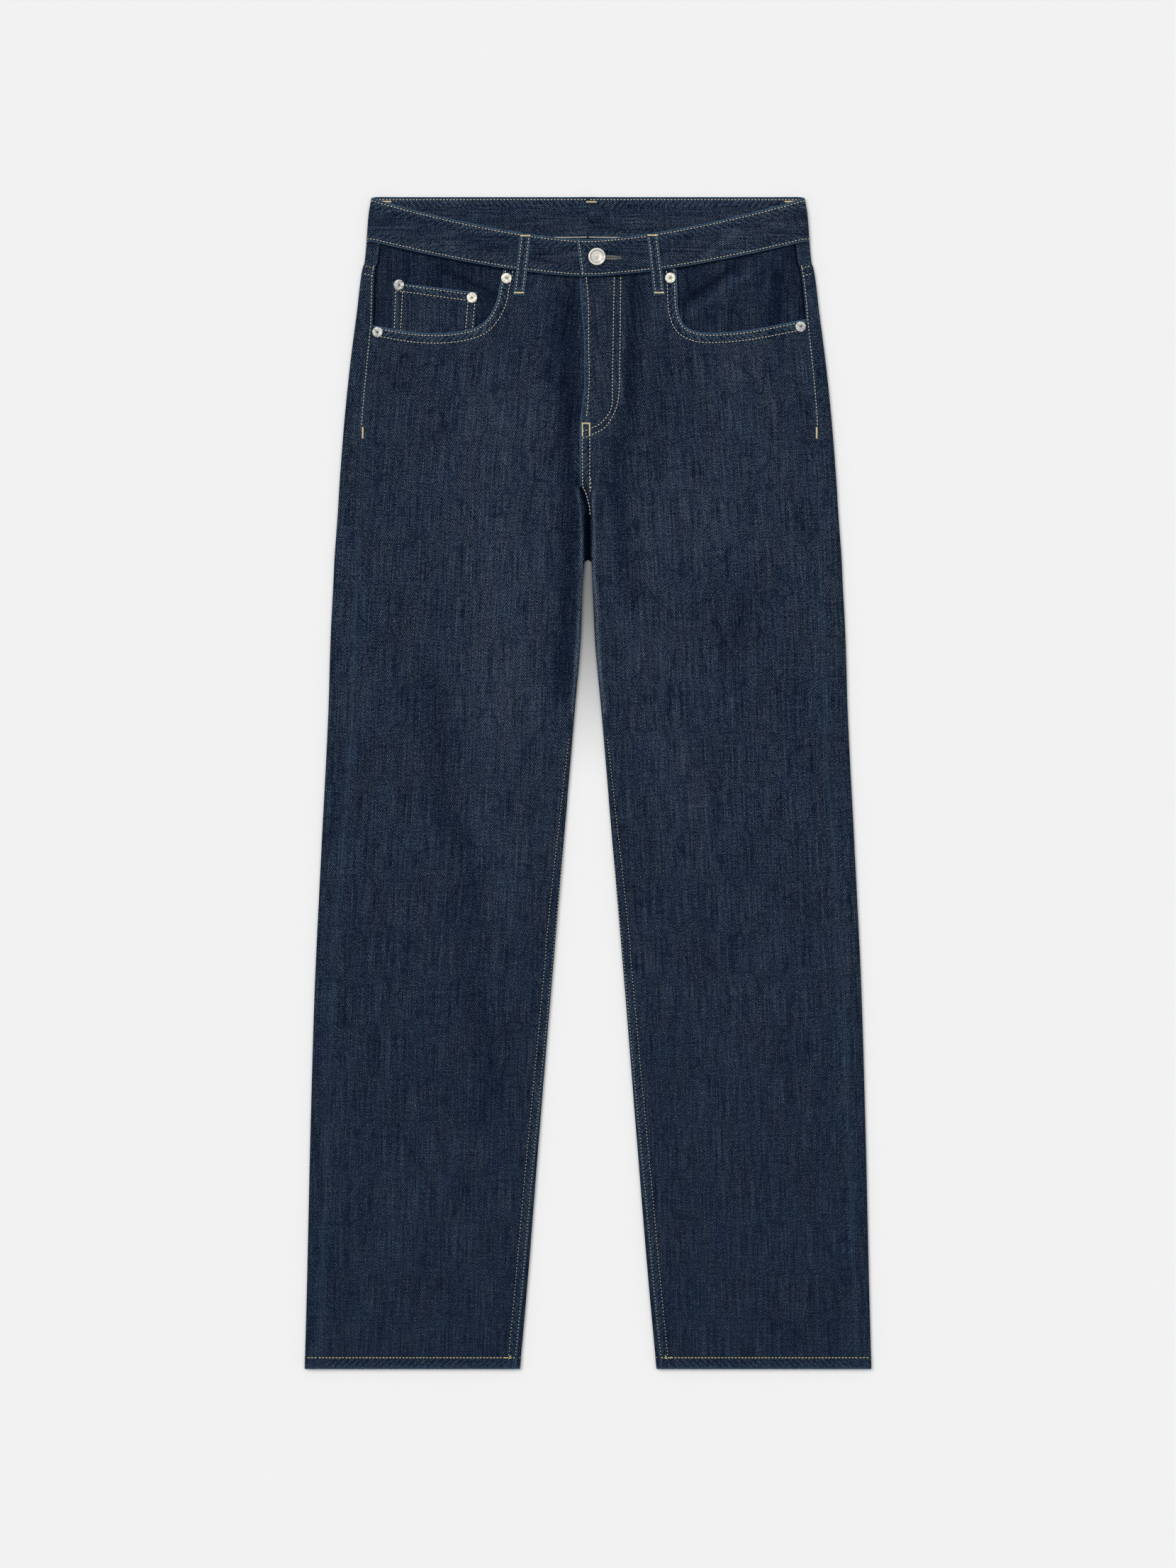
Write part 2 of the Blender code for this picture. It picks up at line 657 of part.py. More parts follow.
def waistband(side, material):
    """Half of the waistband, from its end at the fly round the side to the centre seam at the back."""
    radius = fold_radius(0) + BAND_PROUD / 2
    outer, inner = [], []
    for k in range(BAND_ROWS + 1):
        share = k / BAND_ROWS
        end = band_end_x(side, share)
        fronts = [mix(end, BAND_FRONT_COLUMNS[-1], j / 3) for j in range(3)]
        columns = [(x, True, None) for x in (*fronts, *reversed(BAND_FRONT_COLUMNS))]
        columns += [(None, True, j / 6) for j in range(7)]
        columns += [(x, False, None) for x in YOKE_COLUMNS]
        skins = []
        for x, on_top, turn in columns:
            at = BAND_HALF if x is None else x
            if turn is not None:
                top, low = mix(band_top_front(at), 0.0, turn), band_low_round(turn)
            elif on_top:
                top, low = band_top_front(at), band_low_front(at)
            else:
                top, low = 0.0, band_low_back(at)
            wall = Wall(side, mix(top, low, share), BAND_WALL, radius)
            if turn is not None:
                run = mix(wall.quarter, -wall.quarter, turn)
            else:
                along_x = min(x, wall.outer - wall.radius - 1.0)
                run = wall.run_at(along_x) if on_top else -wall.run_at(along_x)
            skins.append(cloth_skins(wall, run, BAND_WALL / 2, BAND_WALL / 2, band_raise))
        outer.append([skin[0] for skin in skins])
        inner.append([skin[1] for skin in skins])
    return shell("waistband_" + side, outer, inner, material)


def facing_depth(side, x, down):
    """How far the pocket facing lies below the outer face of the front."""
    from_band = (down - band_low_front(x)) / FACING_SLOPE_FROM_BAND
    from_seam = (Wall(side, down).seam_x() - x) / FACING_SLOPE_FROM_SEAM
    return LAYER + mix(*FACING_DEPTH, smooth_step(min(from_band, from_seam)))


def level_sheet(name, side, grid, height, thickness, material):
    """A sheet whose outer face has this height at each (x, down) of a grid."""
    outer, inner = [], []
    for row in grid:
        outer.append([
            (SIDES[side] * s.x * MM, (LENGTH / 2 - s.down) * MM, height(s.x, s.down) * MM) for s in row
        ])
        inner.append([(x, y, z - thickness * MM) for x, y, z in outer[-1]])
    return shell(name, outer, inner, material)


def facing(side, material):
    """The denim that shows inside a pocket mouth. It runs on under the front."""
    columns, rows = 9, 7

    def lowest(x):
        corner = 1 - min(1.0, (x - FACING_INNER) / 30.0)
        return FACING_LOW - FACING_CORNER * corner**2

    grid = []
    for k in range(rows + 1):
        row = []
        for j in range(columns + 1):
            x = mix(FACING_INNER, Wall(side, 90).seam_x(), j / columns)
            down = mix(band_low_front(x) + 2 * SEAM_GAP, lowest(x), k / rows)
            row.append(Spot(mix(FACING_INNER, Wall(side, down).seam_x(), j / columns), down))
        grid.append(row)

    def height(x, down):
        return 2 * fold_radius(down) - facing_depth(side, x, down)

    return level_sheet("facing_" + side, side, grid, height, DENIM, material)


def coin_pocket(material):
    """The small pocket on the right facing. Its lower end is under the front."""
    a, b, c, d = COIN_POCKET
    steps = 6
    grid = []
    for k in range(steps + 1):
        t = k / steps
        start, end = Spot(mix(a.x, d.x, t), mix(a.down, d.down, t)), Spot(mix(b.x, c.x, t), mix(b.down, c.down, t))
        grid.append([
            Spot(mix(start.x, end.x, j / steps), mix(start.down, end.down, j / steps)) for j in range(steps + 1)
        ])

    def height(x, down):
        return 2 * fold_radius(down) - facing_depth("right", x, down) + LAYER

    return level_sheet("coin_pocket", "right", grid, height, DENIM, material)


def strip(name, start, end, width, height, thickness, material, steps=8):
    """A flat strip between two spots. height gives its outer face."""
    across = (end.down - start.down, start.x - end.x)
    length = math.hypot(*across)
    half = [c / length * width / 2 for c in across]
    outer, inner = [], []
    for k in range(steps + 1):
        x, down = mix(start.x, end.x, k / steps), mix(start.down, end.down, k / steps)
        z = height(x, down)
        row = [
            ((x + side * half[0]) * MM, (LENGTH / 2 - down - side * half[1]) * MM, z * MM) for side in (-1, 1)
        ]
        outer.append(row)
        inner.append([(p[0], p[1], p[2] - thickness * MM) for p in row])
    return shell(name, outer, inner, material)


def front_loop(side, material):
    """A belt loop that starts at the waistband's top edge and ends on the front below it."""
    start, end = FRONT_LOOPS[side]
    band_face = 2 * fold_radius(0) + BAND_PROUD

    def height(x, down):
        past = smooth_step((down - band_low_front(x) - 3.0) / 7.0)
        level = max(front_level(side, abs(x) + off, down) for off in (-LOOP_WIDTH / 2, LOOP_WIDTH / 2))
        return mix(band_face, level, past) + SEAM_GAP + LOOP_WALL

    return strip("belt_loop_front_" + side, start, end, LOOP_WIDTH, height, LOOP_WALL, material, 12)


def back_loop(name, x, material):
    """A belt loop on the underside, flush with the surface that the jeans lie on."""
    low = band_low_back(abs(x)) + LOOP_BELOW_BAND
    start, end = Spot(x, 0.6), Spot(x, low)
    return strip(name, start, end, LOOP_WIDTH, lambda x, down: BACK_LOOP_WALL, BACK_LOOP_WALL, material, 4)


def back_pocket(side, material):
    """A pointed patch pocket on the underside: its outline filled and pulled up to its thickness."""
    mesh = bmesh.new()
    corners = [
        mesh.verts.new((SIDES[side] * s.x * MM, (LENGTH / 2 - s.down) * MM, 0.0)) for s in BACK_POCKET
    ]
    face = mesh.faces.new(corners)
    top = bmesh.ops.extrude_face_region(mesh, geom=[face])["geom"]
    lifted = [v for v in top if isinstance(v, bmesh.types.BMVert)]
    bmesh.ops.translate(mesh, verts=lifted, vec=(0.0, 0.0, DENIM * MM))
    bmesh.ops.recalc_face_normals(mesh, faces=mesh.faces)
    return finished("back_pocket_" + side, mesh, material)


def turned(name, profile, spot, base, material, steps=20):
    """A round piece turned from its profile of (radius, height), set down with its foot at this height."""
    mesh = bmesh.new()
    verts = [mesh.verts.new((r * MM, 0.0, z * MM)) for r, z in profile]
    edges = [mesh.edges.new(pair) for pair in zip(verts, verts[1:])]
    bmesh.ops.spin(
        mesh, geom=verts + edges, cent=(0, 0, 0), axis=(0, 0, 1), angle=2 * math.pi, steps=steps,
        use_merge=True, use_duplicate=False,
    )
    bmesh.ops.remove_doubles(mesh, verts=mesh.verts, dist=0.02 * MM)
    bmesh.ops.recalc_face_normals(mesh, faces=mesh.faces)
    piece = finished(name, mesh, material)
    piece.location = (spot.x * MM, (LENGTH / 2 - spot.down) * MM, base * MM)
    return piece


def rivet(name, spot, base, material):
    """A copper-type rivet's washer with its raised burr in the middle."""
    r, h = RIVET_RADIUS, RIVET_HEIGHT
    profile = ((0, 0), (r, 0), (r, 0.5 * h), (0.86 * r, 0.8 * h), (0.45 * r, 0.72 * h), (0.2 * r, h), (0, h))
    return turned(name, profile, spot, base, material)


def button(base, material):
    """The waist button's cap: a rolled rim round a shallow dish."""
    r, h = BUTTON_RADIUS, BUTTON_HEIGHT
    profile = (
        (0, 0), (0.9 * r, 0), (r, 0.35 * h), (0.97 * r, 0.75 * h), (0.88 * r, h),
        (0.74 * r, 0.85 * h), (0.5 * r, 0.62 * h), (0.4 * r, 0.74 * h), (0, 0.78 * h),
    )
    return turned("waist_button", profile, BUTTON, base, material, 28)


def rivet_base(name, spot):
    """Height of a rivet's seat: the front, or the coin pocket below it."""
    side = "left" if spot.x > 0 else "right"
    if "coin" in name:
        level = 2 * fold_radius(spot.down) + LAYER - facing_depth(side, abs(spot.x), spot.down)
    else:
        level = max(front_level(side, abs(spot.x) + off, spot.down) for off in (-RIVET_RADIUS, 0, RIVET_RADIUS))
    return level + SEAM_GAP


def new_material(name, colour, roughness, metallic):
    material = bpy.data.materials.new(name)
    material.use_nodes = True
    shader = material.node_tree.nodes["Principled BSDF"]
    shader.inputs["Base Color"].default_value = (*colour, 1.0)
    shader.inputs["Roughness"].default_value = roughness
    shader.inputs["Metallic"].default_value = metallic
    return material


def build():
    for old in list(bpy.data.objects):
        bpy.data.objects.remove(old)
    denim = new_material("indigo_denim", (0.019, 0.028, 0.052), 0.9, 0.0)
    band_denim = new_material("waistband_denim", (0.022, 0.031, 0.055), 0.9, 0.0)
    nickel = new_material("brushed_nickel", (0.62, 0.61, 0.58), 0.35, 1.0)
    for side in SIDES:
        front(side, denim)
        back(side, denim)
        yoke(side, denim)
        waistband(side, band_denim)
        facing(side, denim)
        back_pocket(side, denim)
        front_loop(side, band_denim)
        back_loop("belt_loop_side_" + side, SIDES[side] * SIDE_LOOP_X, band_denim)
    back_loop("belt_loop_centre", 0.0, band_denim)
    coin_pocket(denim)
    for name, spot in RIVETS.items():
        rivet(name, spot, rivet_base(name, spot), nickel)
    band_face = 2 * fold_radius(0) + BAND_PROUD + band_raise("left", BUTTON.x)
    button(band_face + SEAM_GAP, nickel)


build()
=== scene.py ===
"""Straight-leg jeans in dark indigo denim, laid flat on a pale floor with the front up.

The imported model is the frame. Each cloth node is replaced by a finer shell on the same sections, and the
sewing, the metal and the looks are added. The tables are in millimetres and the meshes in metres. Left
and right are the wearer's, "down" is the distance from the top of the back waistband towards the hems,
and x the distance from the centre line.
"""

import functools
import math
from collections import namedtuple

import bpy
import numpy as np
from bpy.props import FloatProperty, FloatVectorProperty, PointerProperty
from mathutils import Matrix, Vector
from mathutils.kdtree import KDTree


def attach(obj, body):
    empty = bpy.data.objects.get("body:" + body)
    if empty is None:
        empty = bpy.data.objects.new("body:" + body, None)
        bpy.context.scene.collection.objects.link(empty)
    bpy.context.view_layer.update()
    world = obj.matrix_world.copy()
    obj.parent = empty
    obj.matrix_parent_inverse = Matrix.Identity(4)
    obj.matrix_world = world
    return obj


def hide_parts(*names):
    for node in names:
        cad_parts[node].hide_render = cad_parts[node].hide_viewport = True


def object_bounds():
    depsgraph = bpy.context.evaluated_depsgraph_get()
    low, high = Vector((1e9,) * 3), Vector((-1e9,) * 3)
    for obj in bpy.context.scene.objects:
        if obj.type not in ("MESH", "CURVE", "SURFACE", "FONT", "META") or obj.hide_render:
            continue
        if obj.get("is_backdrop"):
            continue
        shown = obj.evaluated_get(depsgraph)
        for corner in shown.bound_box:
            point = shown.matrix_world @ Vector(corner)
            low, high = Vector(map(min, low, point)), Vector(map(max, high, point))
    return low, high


bl_info = {
    "name": "Laid-out Jeans",
    "version": (1, 0, 0),
    "blender": (4, 5, 0),
    "location": "View3D > Sidebar > Jeans",
    "description": "Builds a pair of jeans laid flat, with its denim, sewing, rivets and button",
    "category": "Object",
}

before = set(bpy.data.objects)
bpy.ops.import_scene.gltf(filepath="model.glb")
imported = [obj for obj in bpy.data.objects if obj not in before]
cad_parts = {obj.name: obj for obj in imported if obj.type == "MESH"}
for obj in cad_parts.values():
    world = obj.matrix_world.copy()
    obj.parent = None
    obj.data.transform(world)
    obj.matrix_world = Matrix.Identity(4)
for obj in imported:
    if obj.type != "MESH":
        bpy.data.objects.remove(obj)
CAD_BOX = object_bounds()

MM = 0.001
SIDES = {"right": -1, "left": 1}

# Driving dimensions
LENGTH = 1092.0
DENIM = 1.0
SEAM_GAP = 0.3
LAYER = DENIM + SEAM_GAP
AIR_AT_HIP = 3.6
AIR_AT_HEM = 3.4
HIP_DOWN = 300.0
KNEE_DOWN = 600.0
BAND_WALL = 2.0
BAND_PROUD = 0.8
HEM_HEIGHT = 10.8
HEM_EXTRA = 0.5

# The outline that is seen from above: half width outside, and half the gap between the legs
Outline = namedtuple("Outline", "down outer gap_right gap_left")
OUTLINE = tuple(Outline(*row) for row in (
    (0, 201.6, 7.6, 4.0), (15, 204.3, 7.6, 4.0), (62, 208.4, 7.6, 4.0), (65, 209.8, 7.6, 4.0),
    (108, 215.5, 7.6, 4.0), (160, 222.1, 7.6, 4.0), (213, 227.4, 7.6, 4.0), (271, 231.8, 7.6, 4.0),
    (290, 232.9, 4.4, 2.6), (306, 234.0, 3.1, 2.3), (336, 236.2, 3.1, 3.1), (360, 237.3, 4.9, 4.0),
    (411, 239.9, 6.8, 6.3), (477, 241.9, 12.2, 12.2), (609, 248.5, 23.4, 23.4), (741, 254.8, 34.5, 34.5),
    (873, 258.7, 45.4, 45.0), (1005, 261.7, 55.8, 55.8), (1092, 264.0, 63.4, 63.8),
))

# How far the back wraps over the outer fold onto the front, up to the side seam
SideSeam = namedtuple("SideSeam", "down inset_right inset_left")
SIDE_SEAM = tuple(SideSeam(*row) for row in (
    (0, 12.3, 12.9), (65, 12.3, 12.9), (95, 14.5, 13.0), (125, 17.0, 14.2), (220, 19.0, 15.8),
    (320, 21.6, 20.0), (530, 21.6, 21.6), (620, 18.2, 18.2), (740, 17.2, 17.2), (950, 14.8, 14.8),
    (1092, 11.9, 11.9),
))

# How far the inseam lies past the innermost line of the leg: onto the front, or under it if negative
Inseam = namedtuple("Inseam", "down wrap")
INSEAM = tuple(Inseam(*row) for row in (
    (343, -1.2), (362, -2.6), (480, -2.6), (560, -2.0), (640, -0.1), (740, 1.0), (807, 1.6), (939, 3.5),
    (1092, 4.5),
))

# The edge of the left front that laps over the right front at the fly, wearer's right being negative
FlyEdge = namedtuple("FlyEdge", "down x")
FLY_EDGE = tuple(FlyEdge(*row) for row in (
    (74, -7.9), (104, -6.1), (139, -3.6), (175, -3.6), (192, -5.2), (218, -7.9), (271, -7.4),
))
FLY_UNDERLAP = 15.0
RISE_UNDERLAP = 5.0
FLY_RAISED_TO = 14.0
FLY_LEVEL_FROM = 34.0

# The rise seam, where it sinks between the thighs: its place and how far it lies below the front
Sink = namedtuple("Sink", "down x drop")
SINKING_SEAM = (Sink(271, -7.4, 0.0), Sink(275, -5.0, 0.8), Sink(280, -3.4, 1.8), Sink(291, -0.4, 3.1))
SLOT_TOP = 271.0
SLOT_FULL = 298.0
CROTCH_EDGE = 338.0
CROTCH_CLEAR = 343.0

# The waistband: its dip at the front, its ends and the lap that carries the button
BAND_DIP_TOP = 38.3
BAND_TOP_AT_SIDE = 2.0
BAND_LOW_AT_CENTRE = 74.6
BAND_LOW_RISE = 32.3
BAND_DIP_POWER = 1.5
BAND_HALF = 200.0
BACK_BAND_LOW = 38.5
BACK_BAND_DROP = 2.5
BAND_LAP_END_TOP = -10.7
BAND_LAP_END_LOW = -6.3
BAND_UNDERLAP_END = 22.0
BAND_LAP_RAISED_TO = 27.0
BAND_LAP_LEVEL_FROM = 50.0

# The yoke across the back, deepest at the centre seam
YOKE_AT_SIDE = 62.7
YOKE_AT_CENTRE = 96.0
YOKE_DROP_TO_SEAM = 3.0

Spot = namedtuple("Spot", "x down")


def spot_rows(*rows):
    """Rows of (x, down) pairs as spots."""
    return tuple(tuple(Spot(*pair) for pair in row) for row in rows)


def path_rows(kind, rows):
    """A table of this kind, from rows of a path in (x, down) pairs and two more numbers."""
    return tuple(kind(spot_rows(path)[0], *rest) for path, *rest in rows)


# The pocket mouths, from the waistband to the side seam, and what lies under them
Zone = namedtuple("Zone", "x_from x_to down_from down_to ramp height")
MOUTH = dict(zip(("right", "left"), spot_rows(
    (
        (78.6, 66.9), (80.6, 76.0), (82.5, 84.0), (84.2, 94.0), (87.9, 104.0),
        (94.7, 114.5), (105.3, 122.1), (126.6, 126.7), (149.3, 127.4),
        (172.0, 125.1), (200.6, 119.8),
    ),
    (
        (82.0, 66.4), (82.7, 76.0), (83.0, 86.0), (83.4, 98.0), (85.2, 110.2),
        (89.6, 119.6), (98.9, 125.1), (112.9, 127.1), (136.3, 125.8),
        (159.7, 122.7), (202.0, 114.2),
    ),
)))
MOUTH_BEND_SHARE = 25.0
MOUTH_RAISE = Zone(72.0, 230.0, 60.0, 140.0, 14.0, 0.6)
COIN_HEM_HEIGHT = 8.5
COIN_HEM_EXTRA = 0.25
FACING_INNER = 66.0
FACING_LOW = 142.0
FACING_CORNER = 32.0
FACING_DEPTH = (0.2, 0.7)
FACING_SLOPE_FROM_BAND = 25.0
FACING_SLOPE_FROM_SEAM = 14.0
COIN_POCKET = (Spot(181.8, 79.9), Spot(103.3, 89.1), Spot(106.0, 134.0), Spot(183.0, 136.0))

# Long soft folds of the fronts: the path of each trough, its half width and its depth
Fold = namedtuple("Fold", "path width depth")
FOLDS = path_rows(Fold, (
    (((-30, 85), (-25, 150), (-20, 203), (-16.5, 257)), 5.5, 1.5),
    (((-17, 300), (-18.2, 364), (-23.4, 418), (-30, 475)), 5.5, 1.5),
    (((71, 140), (68, 165), (64, 203), (62, 250)), 7.0, 1.2),
    (((40, 190), (32, 246), (31, 292), (44, 370)), 6.0, 1.0),
    (((92, 340), (80, 375), (70, 415)), 10.0, 1.0),
    (((-172, 240), (-163, 350), (-150, 430)), 18.0, 1.0),
    (((-145, 450), (-138, 508), (-128, 610)), 16.0, 1.0),
    (((-100, 600), (-107, 710), (-95, 815), (-100, 910)), 16.0, 0.9),
    (((120, 640), (112, 760), (128, 900)), 16.0, 0.8),
))

# Pieces on the waistband and the back. What lies on them is lifted by one layer.
LOOP_WIDTH = 10.2
LOOP_WALL = 1.6
BACK_LOOP_WALL = 1.2
LOOP_BELOW_BAND = 18.0
FRONT_LOOPS = {
    "right": (Spot(-58.0, 34.6), Spot(-64.4, 92.4)),
    "left": (Spot(59.7, 34.2), Spot(66.3, 92.4)),
}
SIDE_LOOP_X = 188.0
BACK_LOOPS = (
    ("side_loop_right", "belt_loop_side_right", -SIDE_LOOP_X),
    ("side_loop_left", "belt_loop_side_left", SIDE_LOOP_X),
    ("centre_loop", "belt_loop_centre", 0.0),
)
BACK_POCKET = (Spot(37, 114), Spot(185, 105), Spot(177, 238), Spot(112, 267), Spot(44, 245))
LIFTS = (
    Zone(33.0, 189.0, 103.0, 271.0, 4.0, DENIM + SEAM_GAP),
    Zone(-6.4, 6.4, -9.0, 63.0, 3.0, BACK_LOOP_WALL + SEAM_GAP),
    Zone(SIDE_LOOP_X - 6.4, SIDE_LOOP_X + 6.4, -9.0, 62.0, 3.0, BACK_LOOP_WALL + SEAM_GAP),
)

# Metal
RIVET_RADIUS = 4.9
RIVET_OFF_CLOTH = 0.15
RIVET_OFF_COIN_POCKET = 0.05
TURNED_STEPS = 56
RIVETS = {
    "rivet_pocket_right_inner": Spot(-76.0, 76.2),
    "rivet_pocket_right_outer": Spot(-196.0, 126.4),
    "rivet_pocket_left_inner": Spot(76.6, 75.9),
    "rivet_pocket_left_outer": Spot(198.0, 121.2),
    "rivet_coin_right_outer": Spot(-176.1, 82.2),
    "rivet_coin_right_inner": Spot(-108.1, 94.1),
}
BUTTON = Spot(8.3, 56.5)

# Rows and columns of the walls
LEG_ROWS = (
    400, 440, 480, 520, 560, 600, 640, 690, 745, 805, 865, 925, 985, 1035,
    LENGTH - HEM_HEIGHT - 0.6, LENGTH - HEM_HEIGHT + 0.6, LENGTH,
)
FRONT_ROWS = (
    200, 235, 264, SLOT_TOP, 275, 280, 285, 291, SLOT_FULL, 318, CROTCH_EDGE, CROTCH_CLEAR, 352, 362,
)
BACK_ROWS = (98.5, 103, 145, 185, 225, 271, 275, 305, CROTCH_EDGE, CROTCH_CLEAR, 352, 362)
TURN_LEAD = 2.0
FLAT_FROM = 280.0
SHARED_FROM = 360.0


def clamp(value):
    return min(1.0, max(0.0, value))


def smooth_step(value):
    """0 below 0, 1 above 1 and an even slope between."""
    value = clamp(value)
    return value * value * (3 - 2 * value)


def mix(a, b, share):
    return a + (b - a) * share


def mix_spots(a, b, share):
    return Spot(mix(a.x, b.x, share), mix(a.down, b.down, share))


def bell(distance, reach):
    """1 at the middle, and less and less with the distance from it."""
    return math.exp(-((distance / reach) ** 2))


def metres(x, down, z):
    """A point of the scene from millimetres. x is the wearer's left if positive."""
    return x * MM, (LENGTH / 2 - down) * MM, z * MM


@functools.lru_cache(maxsize=200000)
def along(table, column, down):
    """A column of a table at this distance down, on a smooth curve that never overshoots its rows."""
    downs = [row.down for row in table]
    values = [getattr(row, column) for row in table]
    if down <= downs[0]:
        return values[0]
    if down >= downs[-1]:
        return values[-1]
    slopes = [
        (values[i + 1] - values[i]) / (downs[i + 1] - downs[i]) for i in range(len(table) - 1)
    ]

    def tangent(i):
        if i == 0 or i == len(table) - 1:
            return slopes[min(i, len(slopes) - 1)]
        before, after = slopes[i - 1], slopes[i]
        return 0.0 if before * after <= 0 else 2 * before * after / (before + after)

    i = max(k for k in range(len(slopes)) if downs[k] <= down)
    step = downs[i + 1] - downs[i]
    t = (down - downs[i]) / step
    return (
        (2 * t**3 - 3 * t**2 + 1) * values[i]
        + (t**3 - 2 * t**2 + t) * step * tangent(i)
        + (3 * t**2 - 2 * t**3) * values[i + 1]
        + (t**3 - t**2) * step * tangent(i + 1)
    )


def curve_through(spots, steps=8):
    """A smooth curve through the spots, as a polyline with this many steps in each span."""
    points = [spots[0], *spots, spots[-1]]
    line = []
    for a, b, c, d in zip(points, points[1:], points[2:], points[3:]):
        for k in range(steps):
            t = k / steps
            line.append(Spot(*(
                0.5 * (2 * q + (r - p) * t + (2 * p - 5 * q + 4 * r - s) * t**2
                       + (3 * q - p - 3 * r + s) * t**3)
                for p, q, r, s in zip(a, b, c, d)
            )))
    return [*line, spots[-1]]


def resampled(line, count):
    """This many steps along a polyline, of equal length but shorter where it bends."""
    lengths, heading = [0.0], None
    for a, b in zip(line, line[1:]):
        before, heading = heading, math.atan2(b.down - a.down, b.x - a.x)
        bend = 0.0 if before is None else abs(heading - before)
        lengths.append(lengths[-1] + math.hypot(b.x - a.x, b.down - a.down) + MOUTH_BEND_SHARE * bend)
    spots = []
    for k in range(count + 1):
        want = lengths[-1] * k / count
        i = max(n for n in range(len(line) - 1) if lengths[n] <= want)
        share = (want - lengths[i]) / (lengths[i + 1] - lengths[i])
        spots.append(mix_spots(line[i], line[i + 1], share))
    return spots


def outer_half(down):
    return along(OUTLINE, "outer", down)


def gap_half(side, down):
    return along(OUTLINE, "gap_" + side, down)


def air(down):
    """The clear height inside the leg or the seat."""
    return mix(AIR_AT_HIP, AIR_AT_HEM, smooth_step((down - HIP_DOWN) / (KNEE_DOWN - HIP_DOWN)))


def fold_radius(down):
    """Outer radius of the fold at the sides of the leg."""
    return DENIM + air(down) / 2


def band_low_front(x):
    return BAND_LOW_AT_CENTRE - BAND_LOW_RISE * min(1.0, abs(x) / BAND_HALF) ** BAND_DIP_POWER


def band_top_front(x):
    share = min(1.0, abs(x) / BAND_HALF)
    return BAND_TOP_AT_SIDE + BAND_DIP_TOP * (1 - share**BAND_DIP_POWER)


def band_low_back(x):
    return BACK_BAND_LOW + BACK_BAND_DROP * (x / BAND_HALF) ** 2


def band_low_round(turn):
    """The waistband's lower edge over the fold at the side: 0 on the front, 1 under the back."""
    return mix(band_low_front(BAND_HALF), band_low_back(BAND_HALF), turn)


def yoke_low(x, on_top):
    if on_top:
        return YOKE_AT_SIDE + YOKE_DROP_TO_SEAM * (outer_half(YOKE_AT_SIDE) - x) / SIDE_SEAM[0].inset_right
    return YOKE_AT_SIDE + (YOKE_AT_CENTRE - YOKE_AT_SIDE) * max(0.0, 1 - x / outer_half(YOKE_AT_SIDE))


def slot_share(down):
    """0 where the fronts lie flat across the centre, 1 where both thighs are rounded off."""
    return clamp((down - SLOT_TOP) / (SLOT_FULL - SLOT_TOP))


def folds_height(x, down):
    """How far the front is raised or lowered by its soft folds. x is the wearer's left if positive."""
    height = 0.0
    for fold in FOLDS:
        first, last = fold.path[0].down, fold.path[-1].down
        if not first < down < last:
            continue
        middle = along(fold.path, "x", down)
        fade = math.sin(math.pi * (down - first) / (last - first)) ** 0.6
        near = (x - middle) / fold.width
        height -= fold.depth * fade * math.exp(-near * near / 2)
        height += 0.35 * fold.depth * fade * math.exp(-((abs(near) - 2.6) ** 2) / 1.4)
    return height


def zone_height(zone, x, down):
    outside = max(zone.x_from - x, x - zone.x_to, zone.down_from - down, down - zone.down_to, 0.0)
    return zone.height * (1 - smooth_step(outside / zone.ramp))


def lift(x, down):
    """How far the underside is raised over a pocket or a loop that lies under it."""
    return max(zone_height(zone, x, down) for zone in LIFTS)


def front_raise(side, x, down):
    """How far a front is raised: over the layers of the pocket, and where the left laps over the right."""
    seam_x = outer_half(down) - along(SIDE_SEAM, "inset_" + side, down)
    height = zone_height(MOUTH_RAISE, x, down) * smooth_step((seam_x - x) / 9.0)
    if side == "left":
        share = 1 - smooth_step((x - FLY_RAISED_TO) / (FLY_LEVEL_FROM - FLY_RAISED_TO))
        height += LAYER * share * (1 - slot_share(down))
    return height


def band_raise(side, x):
    """How far the waistband is raised, where its left end laps over the right one."""
    share = 1 - smooth_step((x - BAND_LAP_RAISED_TO) / (BAND_LAP_LEVEL_FROM - BAND_LAP_RAISED_TO))
    return (BAND_WALL + SEAM_GAP) * share if side == "left" else 0.0


